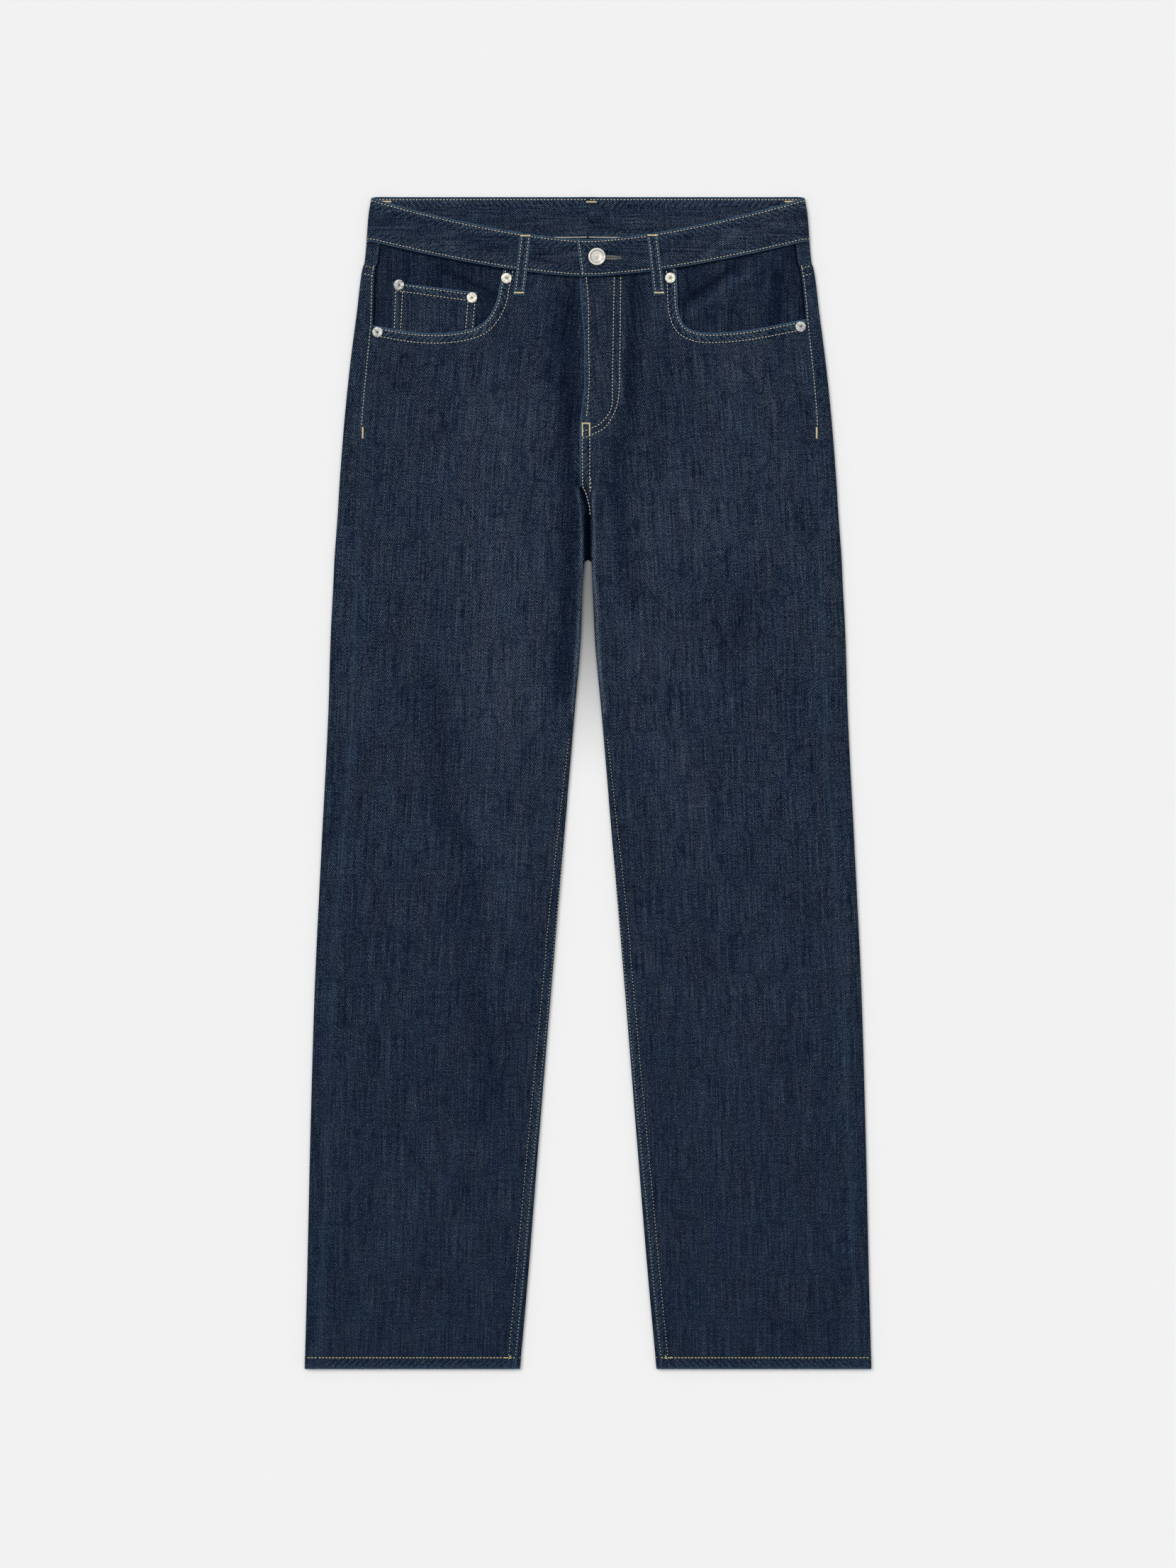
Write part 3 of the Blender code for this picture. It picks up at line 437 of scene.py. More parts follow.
class Wall:
    """The flattened tube of one side: a leg, or half of the seat above it.

    A place on it is a row, which is its distance down, and a distance "run" along the middle of the
    cloth from the outermost line of the outer fold: over the front if positive, under the back if
    negative. "out" is the distance from the middle of the cloth towards its outer face.
    """

    def __init__(self, side, down, cloth=DENIM, radius=None):
        self.side, self.down = side, down
        self.radius = radius or fold_radius(down)
        self.middle = self.radius - cloth / 2
        self.quarter = math.pi * self.middle / 2
        self.outer = outer_half(down)
        self.inner = gap_half(side, down)
        self.straight = self.outer - self.inner - 2 * self.radius
        self.turn_run = self.quarter + self.straight
        self.front_end, self.front_turn = self.front_edge()

    def run_at(self, x):
        """The run on the front where the cloth is this far from the centre line."""
        return self.quarter + self.outer - self.radius - x

    def seam_x(self):
        return self.outer - along(SIDE_SEAM, "inset_" + self.side, self.down)

    def inner_x(self):
        """Where the cloth starts to turn over at the inside of the leg."""
        return self.inner + self.radius

    def front_edge(self):
        """How far the front runs past the start of its inner turn, and the angle that it turns by."""
        if self.down >= SLOT_FULL:
            return self.quarter - along(INSEAM, "wrap", self.down), math.pi
        if self.down < SLOT_TOP:
            return self.inner_x() - front_fly_x(self.side, self.down), 0.0
        across = self.inner_x() - SIDES[self.side] * along(SINKING_SEAM, "x", self.down)
        across -= SEAM_GAP / 2 + 0.5 * DENIM * slot_share(self.down)
        drop = along(SINKING_SEAM, "drop", self.down)
        straight = math.sqrt(across**2 - 2 * self.middle * drop + drop**2)
        angle = math.atan2(across, self.middle - drop) - math.atan2(straight, self.middle)
        return angle * self.middle + straight, angle

    def back_end(self):
        if self.down <= CROTCH_EDGE:
            return self.inner_x() - SEAM_GAP / 2
        end = self.quarter + along(INSEAM, "wrap", self.down) - SEAM_GAP
        return 0.75 * end if self.down <= CROTCH_CLEAR else end

    def section(self, run, out):
        """(x, z) of a place on the cloth, without folds."""
        over, length = run >= 0, abs(run)
        reach = self.middle + out
        turned = length - self.quarter - self.straight
        if length <= self.quarter:
            angle = length / self.middle
            x, height = self.outer - self.radius + reach * math.cos(angle), reach * math.sin(angle)
        elif turned <= 0:
            x, height = self.outer - self.radius - (length - self.quarter), reach
        else:
            limit = self.front_turn if over else (0.0 if self.down <= CROTCH_EDGE else math.pi)
            angle = min(turned / self.middle, limit)
            rest = turned - angle * self.middle
            x = self.inner_x() - reach * math.sin(angle) - rest * math.cos(angle)
            height = reach * math.cos(angle) - rest * math.sin(angle)
        return x, self.radius + height if over else self.radius - height

    def point(self, run, out, raised=None):
        """The place in metres. The folds lower the front, and pieces under the back lift it."""
        x, z = self.section(run, out)
        level = (z - self.radius) / self.middle
        sign = SIDES[self.side]
        away = min(abs(self.outer - x), abs(x - self.inner) if self.down > SLOT_TOP else 99.0)
        if level > 0:
            edge = smooth_step((away - self.radius) / 6.0)
            z += folds_height(sign * x, self.down) * edge * min(1.0, level)
            z += raised(self.side, x, self.down) if raised else 0.0
        else:
            z += lift(x, self.down) * min(1.0, -level)
        return metres(sign * x, self.down, z)


def front_level(side, x, down):
    """Height of a front's outer face where it lies flat."""
    return 2 * fold_radius(down) + folds_height(SIDES[side] * x, down) + front_raise(side, x, down)


# Fine relief that only shows close up
PUCKER_HEIGHT = 0.2
ROPING_HEIGHT = 0.22
ROPING_STEP = 9.5
BAND_EDGE_DROP = 0.3
LOOP_EDGE_DROP = 0.35
SEAM_REACH = 9.0
SEAM_ZONE = 30.0
HEM_ZONE = 34.0
SEEDS = {"left": 1.3, "right": 4.1}
Crease = namedtuple("Crease", "path width height")
CREASES = path_rows(Crease, (
    (((34, 84), (32.5, 150), (31, 186), (22, 214)), 3.0, 0.45),
    (((19, 90), (17, 150), (14, 196)), 4.0, -0.35),
    (((-12, 86), (-9.5, 140), (-10, 200)), 3.0, -0.45),
    (((-60, 120), (-66, 170), (-74, 240)), 7.0, -0.4),
    (((104, 150), (98, 220), (102, 300)), 8.0, -0.4),
    (((-48, 330), (-60, 372), (-82, 420)), 9.0, -0.45),
    (((36, 400), (48, 470), (52, 560)), 10.0, -0.4),
    (((160, 520), (150, 600), (156, 690)), 12.0, -0.4),
    (((-190, 560), (-182, 650), (-190, 760)), 12.0, -0.4),
))
FACING_CREASES = {
    "left": path_rows(Crease, (
        (((86, 100), (110, 88), (134, 67)), 4.5, -0.9),
        (((96, 112), (126, 98), (150, 72)), 5.0, 0.5),
        (((175, 70), (175, 107), (172, 128)), 5.0, -0.7),
    )),
    "right": path_rows(Crease, (
        (((134, 69), (112, 78), (91, 89)), 4.5, -0.7),
        (((192, 72), (191, 95), (188, 122)), 4.0, -0.6),
    )),
}

# Lighter and darker marks on the fronts: faded dye, painted shade in the fold troughs, beside the fly and in
# the slot between the thighs, and painted highlights on ridges and, together with wear, on the thigh rims.
# Each has its path, its half width and its strength
Tone = namedtuple("Tone", "path width amount")
FADE_AND_PAINTED_SHADE_MARKS = path_rows(Tone, (
    (((-152, 436), (-138, 508), (-133, 566), (-104, 657), (-111, 708),
          (-89, 820), (-100, 856)), 9.0, -0.5),
    (((-24, 100), (-19, 221), (-17, 310), (-20, 418), (-25, 465)), 6.0, -1.5),
    (((-14, 76), (-11, 140), (-12, 206)), 5.0, -0.8),
    (((-7, 266), (-3.4, 280), (-0.4, 291), (0, 340)), 2.6, -3.2),
    (((-9.5, 272), (-6.5, 300), (-5.5, 340), (-8.5, 400), (-15, 480)), 1.1, 2.4),
    (((5, 276), (5.5, 300), (5.5, 340), (8.5, 400), (15, 480)), 1.1, 2.3),
    (((33.4, 92), (33.2, 150), (31.6, 190)), 0.8, 1.5),
    (((39.5, 80), (39.5, 150), (38, 205)), 3.0, -0.9),
    (((134, 67), (112, 82), (87, 100)), 3.5, -1.7),
    (((150, 72), (126, 88), (98, 106)), 4.0, 1.0),
    (((176, 72), (175, 107), (172, 126)), 4.0, -1.2),
    (((-134, 69), (-112, 78), (-91, 89)), 4.0, -1.4),
    (((138, 34), (124, 44), (110, 54)), 3.5, 0.9),
    (((122, 38), (112, 46), (100, 56)), 2.5, -0.9),
    (((46, 76), (42, 140), (38, 200), (31, 246), (31, 292), (44, 370)), 7.0, -0.8),
    (((-80, 210), (-86, 330), (-78, 470)), 30.0, 0.42),
    (((-70, 470), (-82, 560), (-80, 640)), 24.0, 0.3),
    (((140, 100), (150, 200), (132, 300)), 26.0, 0.34),
    (((58, 300), (62, 430), (86, 560)), 24.0, 0.3),
    (((133, 360), (134, 382), (132, 410)), 14.0, -0.5),
    (((72, 120), (64, 190), (62, 250)), 5.0, -0.4),
    (((150, 760), (140, 860), (150, 980)), 40.0, 0.12),
    (((-160, 900), (-150, 1000), (-160, 1060)), 40.0, 0.1),
))

# The weave and the dye. Each pattern has its fineness across and along the warp, per mm, its detail and
# its roughness.
PATTERNS = {
    "wander": (0.2, 0.09, 2.0, 0.6), "lean": (0.03, 0.018, 2.0, 0.6), "floats": (0.95, 1.75, 1.5, 0.75),
    "fine slub": (1.35, 0.022, 2.0, 0.7), "broad slub": (0.25, 0.008, 2.0, 0.6),
    "cross slub": (0.03, 0.9, 2.0, 0.6), "patches": (0.35, 0.35, 3.0, 0.7), "flecks": (1.1, 1.1, 2.0, 0.7),
    "dye": (0.022, 0.009, 3.0, 0.6), "blotch": (0.11, 0.06, 2.0, 0.6), "wash": (0.045, 0.016, 3.0, 0.65),
}
SLUBS = (("broad slub", 0.32), ("fine slub", 1.3), ("cross slub", 0.5))
DYE_PATTERNS = (("dye", 0.24), ("blotch", 0.2))
TWILL_PITCH = 1.42
TWILL_WANDER = 1.1
LINE_TONE = 0.5
FLOAT_TONE = 3.3
SLUB_HEIGHT = 0.3
LEAN_CHANGES = (0.53, 0.58)
MIDDLE_TONE = 0.29
WEAVE_TONE = 2.05
WEAVE_DARKENS = 0.5
TONE_STEPS = (("indigo", -0.3, 0.45), ("faded", 0.35, 1.1), ("weft", 1.0, 1.9))
WASH_RANGE = (0.34, 0.66)
WASH_TINTS = ((0.88, 0.98, 1.08, 1.0), (1.03, 0.98, 0.99, 1.0))

# Wear along the edges, and painted shade beside edges that lie under or against other cloth, with distances
# in millimetres
EDGE_MARKS = ("Edge distance", "Edge run", "Edge wear")
EDGE_RAGGED = 5.0
EDGE_ROPE_PERIOD = 2.3
EDGE_ROPE_SLANT = 0.9
RUBBED_RANGE = (1.7, 0.1)
FLECK_RANGE = (0.36, 0.62, 0.25, 1.0)
ROPE_RANGE = (-0.4, 0.5, 0.12, 1.35)
ROPING_PERIOD = 6.2
ROPING_SLANT = 1.1
ROPING_WANDER = 7.0
ROPING_ENDS = ((1.2, 3.0), (12.0, 8.0))
EDGE_SHADE_REACH = 3.2
HALO_REACH = 9.0
HALO_PATCHES = (0.4, 0.62)
PLACED_FADE_AND_SHADE = 0.36
ROPING_TONE = 0.5
HALO_TONE = 0.2
HALO_PALE = 0.22
# Painted shade beside edges: how much it darkens, and its colour
EDGE_SHADE_DARKNESS = 0.85
EDGE_SHADE_COLOUR = (0.0006, 0.0006, 0.0008, 1.0)
ROPING_BUMP = 0.6
DENIM_BUMP = (0.00022, 0.8)
DENIM_ROUGHNESS = (0.94, 0.8)
DENIM_SPECULAR = 0.015

# How strongly the weave shows, by distance down the leg: it fades from the thigh to the hem
WEAVE_CONTRAST = ((0, 100, 330, 560, 800, 1092), (1.0, 1.05, 1.08, 0.98, 0.86, 0.7))

# Sewing: every distance from an edge, in millimetres
EDGE_ROW = 2.3
DOUBLE_GAUGE = 6.8
INSEAM_ROWS = (1.5, 7.9)
INSEAM_TURNS_UP = (
    Inseam(425, 0.7), Inseam(480, 2.2), Inseam(530, 4.2),
    Inseam(580, 5.5), Inseam(630, 7.0), Inseam(700, 8.4),
)
HEM_ROW = 10.6
YOKE_ROWS_BELOW = (1.3, 8.6)
POCKET_ROWS = (2.0, 8.2)
SEAT_ROWS = (1.8, 8.4)
FLY_ROWS = spot_rows(
    ((-1.6, 75.2), (0.5, 103.6), (0.7, 138.6), (1.0, 174.2), (-1.4, 206)),
    ((30.5, 75.2), (30.0, 120), (29.2, 174.2), (27.5, 192.1), (23.1, 204.3),
     (16.0, 215), (5.4, 221.1), (-6.1, 225.6)),
    ((24.5, 75.2), (23.6, 120), (22.8, 174.2), (22.1, 195.4), (16.8, 205.9),
     (8.9, 213.2), (-6.4, 219.4)),
    ((1.65, 212), (1.65, 250), (1.65, 271), (2.6, 276)),
    ((2.5, 262), (2.6, 268), (2.9, 274)),
)
COIN_ROWS = spot_rows(
    ((179.6, 81.5), (112.5, 90.7)), ((178.5, 87.6), (112.9, 96.6)),
    ((179.0, 85.0), (180.7, 130)), ((172.7, 88.5), (174.8, 130)),
    ((111.7, 97.4), (114.6, 130)), ((105.2, 96.5), (108.3, 130)),
)
HEM_RESTITCH = spot_rows(
    ((71.5, LENGTH - 12.4), (78.5, LENGTH - 9.4)), ((72.0, LENGTH - 9.8), (80.5, LENGTH - 11.6)),
)
BUTTONHOLE = (Spot(14.5, 57.0), Spot(31.0, 57.4))
CHAIN_STITCH_SHARE = 0.975
LOOP_ROWS = (-3.2, 3.2)
LOOP_TACK = (8.8, 1.7)
TACK_SLANT = 0.2
SIDE_TACK_DOWN = 220.0

# Stitches that differ from the settings, in metres
# Lift of the dark quad of painted shade under each stitch
GROOVE_LIFT = 0.00005
HEM_STITCH = {"length": 0.0025, "width": 0.0008}
TACK_STITCH = {"pitch": 0.0025, "length": 0.0019, "width": 0.0006, "groove": False}
BUTTONHOLE_STITCH = {"pitch": 0.004, "length": 0.0019, "width": 0.00055, "groove": False}


def length_setting(name, default, description):
    return FloatProperty(name=name, description=description, default=default, min=0.0002, unit="LENGTH")


def colour_setting(name, default, description):
    return FloatVectorProperty(
        name=name, description=description, default=default, subtype="COLOR", size=3, min=0.0, max=1.0
    )


class JeansSettings(bpy.types.PropertyGroup):
    """Sizes and colours of the jeans that a user would change."""

    cell: length_setting("Cloth cell", 0.0033, "Longest side of a cell of the cloth's grid")
    stitch_pitch: length_setting("Stitch pitch", 0.0031, "Distance from one stitch of a row to the next")
    stitch_length: length_setting("Stitch length", 0.00225, "Length of thread that shows in a stitch")
    front_thread_width: length_setting("Front thread width", 0.00068, "Width of the front's heavier thread")
    thread_width: length_setting("Thread width", 0.00059, "Width of the sewing thread")
    indigo: colour_setting("Indigo", (0.0150, 0.0255, 0.0490), "Middle colour of the dyed warp")
    indigo_deep: colour_setting("Deep indigo", (0.0026, 0.0056, 0.0142), "Darkest colour, between the yarns")
    faded: colour_setting("Faded indigo", (0.060, 0.088, 0.132), "Warp yarn where the dye has rubbed thin")
    weft: colour_setting("Weft", (0.215, 0.260, 0.310), "Undyed yarn that shows through the warp")
    worn: colour_setting("Worn edge", (0.085, 0.185, 0.295), "Colour of the cloth rubbed pale at its edges")
    thread: colour_setting("Topstitch thread", (0.88, 0.82, 0.63), "Colour of the topstitching")
    tack: colour_setting("Bar tack thread", (0.94, 0.76, 0.43), "Colour of the bar tacks")
    floor: colour_setting("Floor", (0.86, 0.86, 0.86), "Colour of the floor")
    light: FloatProperty(name="Soft light", description="Strength of both soft lamps together", default=2.546)


def sizes():
    return bpy.context.scene.jeans


# Materials


def add_node(tree, kind, inputs=(), **settings):
    """A node with its settings, and its inputs set or linked."""
    made = tree.nodes.new(kind)
    for key, value in settings.items():
        setattr(made, key, value)
    for key, value in dict(inputs).items():
        if isinstance(value, bpy.types.NodeSocket):
            tree.links.new(value, made.inputs[key])
        else:
            made.inputs[key].default_value = value
    return made


def maths(tree, operation, *values):
    return add_node(tree, "ShaderNodeMath", dict(enumerate(values)), operation=operation).outputs[0]


def vector_maths(tree, operation, *values):
    return add_node(tree, "ShaderNodeVectorMath", dict(enumerate(values)), operation=operation).outputs[0]


def spread(tree, value, low, high, to_low=0.0, to_high=1.0):
    """The value with this range made 0 to 1, or another range, and clamped."""
    inputs = {"Value": value, "From Min": low, "From Max": high, "To Min": to_low, "To Max": to_high}
    return add_node(tree, "ShaderNodeMapRange", inputs, interpolation_type="SMOOTHSTEP").outputs[0]


def noise(tree, place, stretch, detail=2.0, roughness=0.6):
    """Cloudy noise over a place that is first multiplied by these three numbers."""
    inputs = {"Vector": vector_maths(tree, "MULTIPLY", place, stretch), "Scale": 1.0}
    inputs |= {"Detail": detail, "Roughness": roughness}
    return add_node(tree, "ShaderNodeTexNoise", inputs).outputs[0]


def pattern(tree, cloth, name):
    across, along_warp, detail, roughness = PATTERNS[name]
    return noise(tree, cloth, (across, along_warp, 1.0), detail, roughness)


def swayed(tree, value, amount, base=0.0):
    """The base, moved up and down by a noise."""
    return maths(tree, "MULTIPLY_ADD", maths(tree, "SUBTRACT", value, 0.5), amount, base)


def wave(tree, place, period):
    return maths(tree, "SINE", maths(tree, "MULTIPLY", place, 2 * math.pi / period))


def product(tree, first, *others):
    """All of these values multiplied."""
    for other in others:
        first = maths(tree, "MULTIPLY", first, other)
    return first


def blended(tree, share, a, b):
    made = add_node(tree, "ShaderNodeMix", data_type="RGBA")
    for socket, value in zip((made.inputs[0], made.inputs[6], made.inputs[7]), (share, a, b)):
        if isinstance(value, bpy.types.NodeSocket):
            tree.links.new(value, socket)
        else:
            socket.default_value = value
    return made.outputs[2]


def new_group(name, inputs, outputs):
    """An empty node group with these sockets, and its input and output nodes."""
    group = bpy.data.node_groups.new(name, "ShaderNodeTree")
    for label, kind, default in inputs:
        socket = group.interface.new_socket(label, in_out="INPUT", socket_type="NodeSocket" + kind)
        if default is not None:
            socket.default_value = default
    for label, kind in outputs:
        group.interface.new_socket(label, in_out="OUTPUT", socket_type="NodeSocket" + kind)
    return group, group.nodes.new("NodeGroupInput").outputs, group.nodes.new("NodeGroupOutput").inputs


def twill_lines(tree, cloth, wander, way):
    """Diagonal floats of the warp, leaning to one side or the other."""
    across = vector_maths(tree, "DOT_PRODUCT", cloth, (0.866 * way, 0.5, 0.0)).node.outputs["Value"]
    lines = wave(tree, maths(tree, "MULTIPLY_ADD", wander, TWILL_WANDER, across), TWILL_PITCH)
    inputs = {"Vector": cloth, "Angle": -way * math.radians(60)}
    turned = add_node(tree, "ShaderNodeVectorRotate", inputs, rotation_type="Z_AXIS").outputs[0]
    floats = swayed(tree, pattern(tree, turned, "floats"), FLOAT_TONE)
    return maths(tree, "MULTIPLY_ADD", lines, LINE_TONE, floats)


def twill_group():
    """The weave: uneven diagonal floats, slubs along the warp and a few across."""
    group, given, result = new_group(
        "Denim twill",
        (("Cloth", "Vector", None), ("Twill", "Float", 1.0), ("Slubs", "Float", 1.0)),
        (("Tone", "Float"), ("Height", "Float")),
    )
    cloth = given["Cloth"]
    wander = pattern(group, cloth, "wander")
    zone = spread(group, pattern(group, cloth, "lean"), *LEAN_CHANGES)
    both = (twill_lines(group, cloth, wander, way) for way in (1, -1))
    lines = add_node(group, "ShaderNodeMix", dict(zip((0, 2, 3), (zone, *both)))).outputs[0]
    slubs = 0.0
    for name, amount in SLUBS:
        slubs = swayed(group, pattern(group, cloth, name), amount, slubs)
    tone = maths(group, "MULTIPLY_ADD", slubs, given["Slubs"], product(group, lines, given["Twill"]))
    group.links.new(tone, result["Tone"])
    group.links.new(maths(group, "MULTIPLY_ADD", slubs, SLUB_HEIGHT, lines), result["Height"])
    return group


def seam_wear_and_shade_group():
    """Rubbed edges and the roping beside them, and painted shade beside edges with a negative mark, from the
    distance to the nearest sewn edge.
    """
    group, given, result = new_group(
        "Seam wear",
        (("Cloth", "Vector", None), ("Edge distance", "Float", 9.0), ("Edge run", "Float", 0.0),
         ("Edge wear", "Float", 0.0)),
        (("Worn", "Float"), ("Sheltered", "Float"), ("Roping", "Float"), ("Halo", "Float")),
    )
    distance, run, wear = given["Edge distance"], given["Edge run"], given["Edge wear"]
    patches = pattern(group, given["Cloth"], "patches")
    flecks = pattern(group, given["Cloth"], "flecks")
    ragged = swayed(group, patches, EDGE_RAGGED, distance)
    worn = maths(group, "MAXIMUM", wear, 0.0)
    rope = wave(group, maths(group, "MULTIPLY_ADD", distance, EDGE_ROPE_SLANT, run), EDGE_ROPE_PERIOD)
    edge = product(group, spread(group, ragged, *RUBBED_RANGE), spread(group, flecks, *FLECK_RANGE))
    line = product(group, edge, spread(group, rope, *ROPE_RANGE), worn)
    # A negative edge mark is painted shade near that edge
    shade_share = maths(group, "MAXIMUM", maths(group, "MULTIPLY", wear, -1.0), 0.0)
    edge_shade = product(group, spread(group, distance, EDGE_SHADE_REACH, 0.2), shade_share)
    halo = product(group, spread(group, ragged, HALO_REACH, 1.0), spread(group, patches, *HALO_PATCHES), worn)
    phase = maths(group, "MULTIPLY_ADD", distance, ROPING_SLANT, run)
    stripes = wave(group, maths(group, "MULTIPLY_ADD", patches, ROPING_WANDER, phase), ROPING_PERIOD)
    band = product(group, *(spread(group, distance, *ends) for ends in ROPING_ENDS))
    roping = product(group, stripes, band, worn)
    for label, value in (("Worn", line), ("Sheltered", edge_shade), ("Halo", halo), ("Roping", roping)):
        group.links.new(value, result[label])
    return group


def attribute(tree, name):
    return add_node(tree, "ShaderNodeAttribute", attribute_name=name).outputs["Fac"]


def new_material(name):
    """A new material with its node tree, its shader and the object's own coordinates."""
    made = bpy.data.materials.new(name)
    made.use_nodes = True
    tree = made.node_tree
    place = add_node(tree, "ShaderNodeTexCoord").outputs["Object"]
    return made, tree, tree.nodes["Principled BSDF"], place


def dress(tree, shader, colour, roughness=None, bump=None, **values):
    """Link a colour, a roughness and a bump (height, distance, strength), and set other inputs."""
    tree.links.new(colour, shader.inputs["Base Color"])
    if roughness:
        tree.links.new(roughness, shader.inputs["Roughness"])
    if bump:
        inputs = dict(zip(("Height", "Distance", "Strength"), bump))
        tree.links.new(add_node(tree, "ShaderNodeBump", inputs).outputs[0], shader.inputs["Normal"])
    for key, value in values.items():
        shader.inputs[key.replace("_", " ")].default_value = value


def denim(name, tone=0.0, twill_share=1.0, slubs=1.0):
    """Indigo denim on the piece's own UV map, in millimetres, with its worn edges, faded dye, and painted
    shade and highlights in folds, beside edges and in the slot between the thighs.
    """
    made, tree, shader, _ = new_material(name)
    user = sizes()
    uv = add_node(tree, "ShaderNodeUVMap", uv_map="cloth").outputs[0]
    cloth = vector_maths(tree, "MULTIPLY", uv, (1 / MM, 1 / MM, 1 / MM))
    given = {label: attribute(tree, label.lower().replace(" ", "_")) for label in EDGE_MARKS}
    wear = add_node(
        tree, "ShaderNodeGroup", {"Cloth": cloth, **given}, node_tree=bpy.data.node_groups["Seam wear"]
    ).outputs
    twill = add_node(
        tree, "ShaderNodeGroup", {"Cloth": cloth, "Twill": twill_share, "Slubs": slubs},
        node_tree=bpy.data.node_groups["Denim twill"],
    ).outputs
    weave = attribute(tree, "weave_contrast")
    level = maths(tree, "MULTIPLY_ADD", weave, -WEAVE_DARKENS, MIDDLE_TONE + tone)
    value = maths(tree, "MULTIPLY_ADD", twill["Tone"], maths(tree, "MULTIPLY", weave, WEAVE_TONE), level)
    for pattern_name, amount in DYE_PATTERNS:
        value = swayed(tree, pattern(tree, cloth, pattern_name), amount, value)
    # Placed marks: faded dye, and painted shade and painted highlights in folds, on ridges and the thigh
    # rims, and in the slot between the thighs
    placed = attribute(tree, "dye_tone")
    for mark, amount in ((placed, PLACED_FADE_AND_SHADE), (wear["Roping"], ROPING_TONE), (wear["Halo"], HALO_TONE)):
        value = maths(tree, "MULTIPLY_ADD", mark, amount, value)
    # Painted shade beside edges lowers the value
    value = maths(tree, "SUBTRACT", value, wear["Sheltered"])
    colour = (*user.indigo_deep, 1.0)
    for key, low, high in TONE_STEPS:
        colour = blended(tree, spread(tree, value, low, high), colour, (*getattr(user, key), 1.0))
    wash = spread(tree, pattern(tree, cloth, "wash"), *WASH_RANGE)
    colour = vector_maths(tree, "MULTIPLY", colour, blended(tree, wash, *WASH_TINTS))
    for share in (maths(tree, "MULTIPLY", wear["Halo"], HALO_PALE), wear["Worn"]):
        colour = blended(tree, share, colour, (*user.worn, 1.0))
    # Painted shade beside edges, blended towards near black
    colour = blended(tree, maths(tree, "MULTIPLY", wear["Sheltered"], EDGE_SHADE_DARKNESS), colour, EDGE_SHADE_COLOUR)
    height = maths(tree, "MULTIPLY_ADD", wear["Roping"], ROPING_BUMP, twill["Height"])
    dress(tree, shader, colour, spread(tree, value, 0.0, 1.0, *DENIM_ROUGHNESS), (height, *DENIM_BUMP),
          Specular_IOR_Level=DENIM_SPECULAR)
    return made


def spun_thread(name, colour, dark=0.62):
    """Sewing thread, twisted, a little darker in places along its row, and with painted shade in the grooves
    of its twist.
    """
    made, tree, shader, place = new_material(name)
    patch = noise(tree, place, (260.0, 260.0, 260.0))
    uv = add_node(tree, "ShaderNodeUVMap", uv_map="thread").outputs[0]
    twist = add_node(tree, "ShaderNodeTexWave", {"Vector": uv, "Scale": 3.0, "Distortion": 1.5}).outputs[1]
    # The twist's low grooves are painted darker: painted shade
    shade = maths(tree, "MULTIPLY_ADD", twist, 0.35, spread(tree, patch, 0.3, 0.7, 0.2, 0.85))
    deep = tuple(c * dark for c in colour)
    dress(tree, shader, blended(tree, shade, (*deep, 1.0), (*colour, 1.0)),
          spread(tree, twist, 0.0, 1.0, 0.75, 0.5), (twist, 0.00008, 0.6), Sheen_Weight=0.1)
    return made


def groove_shade_sheet(name):
    """Painted shade for the groove that a row of stitches draws into the cloth, in dark indigo."""
    made, tree, shader, place = new_material(name)
    grain = noise(tree, place, (900.0, 900.0, 900.0))
    deep = sizes().indigo_deep
    colour = blended(tree, spread(tree, grain, 0.35, 0.65), (*deep, 1.0), (*(2.2 * c for c in deep), 1.0))
    dress(tree, shader, colour, spread(tree, grain, 0.3, 0.7, 0.85, 0.95), Specular_IOR_Level=0.0)
    return made


def metal(name, colour, tarnish, roughness, scale, metallic):
    """Plated metal, dulled in patches and finely scratched."""
    made, tree, shader, place = new_material(name)
    mask = spread(tree, noise(tree, place, (scale, scale, scale), 4.0, 0.65), 0.38, 0.66)
    scratch = noise(tree, place, (9000.0, 900.0, 900.0))
    rough = maths(tree, "MULTIPLY_ADD", mask, 0.22, roughness)
    dress(tree, shader, blended(tree, mask, (*colour, 1.0), (*tarnish, 1.0)),
          maths(tree, "MULTIPLY_ADD", scratch, 0.12, rough), (scratch, 0.00003, 0.5), Metallic=metallic)
    return made


def floor_paper():
    """Pale paper, with the soft shade that the thighs throw on it between them."""
    made, tree, shader, place = new_material("floor_paper")
    apart = add_node(tree, "ShaderNodeSeparateXYZ", {0: place}).outputs
    reach = maths(tree, "ABSOLUTE", apart["X"])
    between = product(tree, spread(tree, apart["Y"], -0.01, 0.2), spread(tree, reach, 0.09, 0.05),
                      spread(tree, apart["Y"], 0.4, 0.3), THIGH_SHADE)
    grain = maths(tree, "MULTIPLY_ADD", noise(tree, place, (40.0, 40.0, 40.0)), 0.02, -0.01)
    shade = maths(tree, "ADD", between, grain)
    colour = blended(tree, shade, (*sizes().floor, 1.0), (0.02, 0.02, 0.021, 1.0))
    dress(tree, shader, colour, Roughness=0.95, Specular_IOR_Level=0.0)
    return made


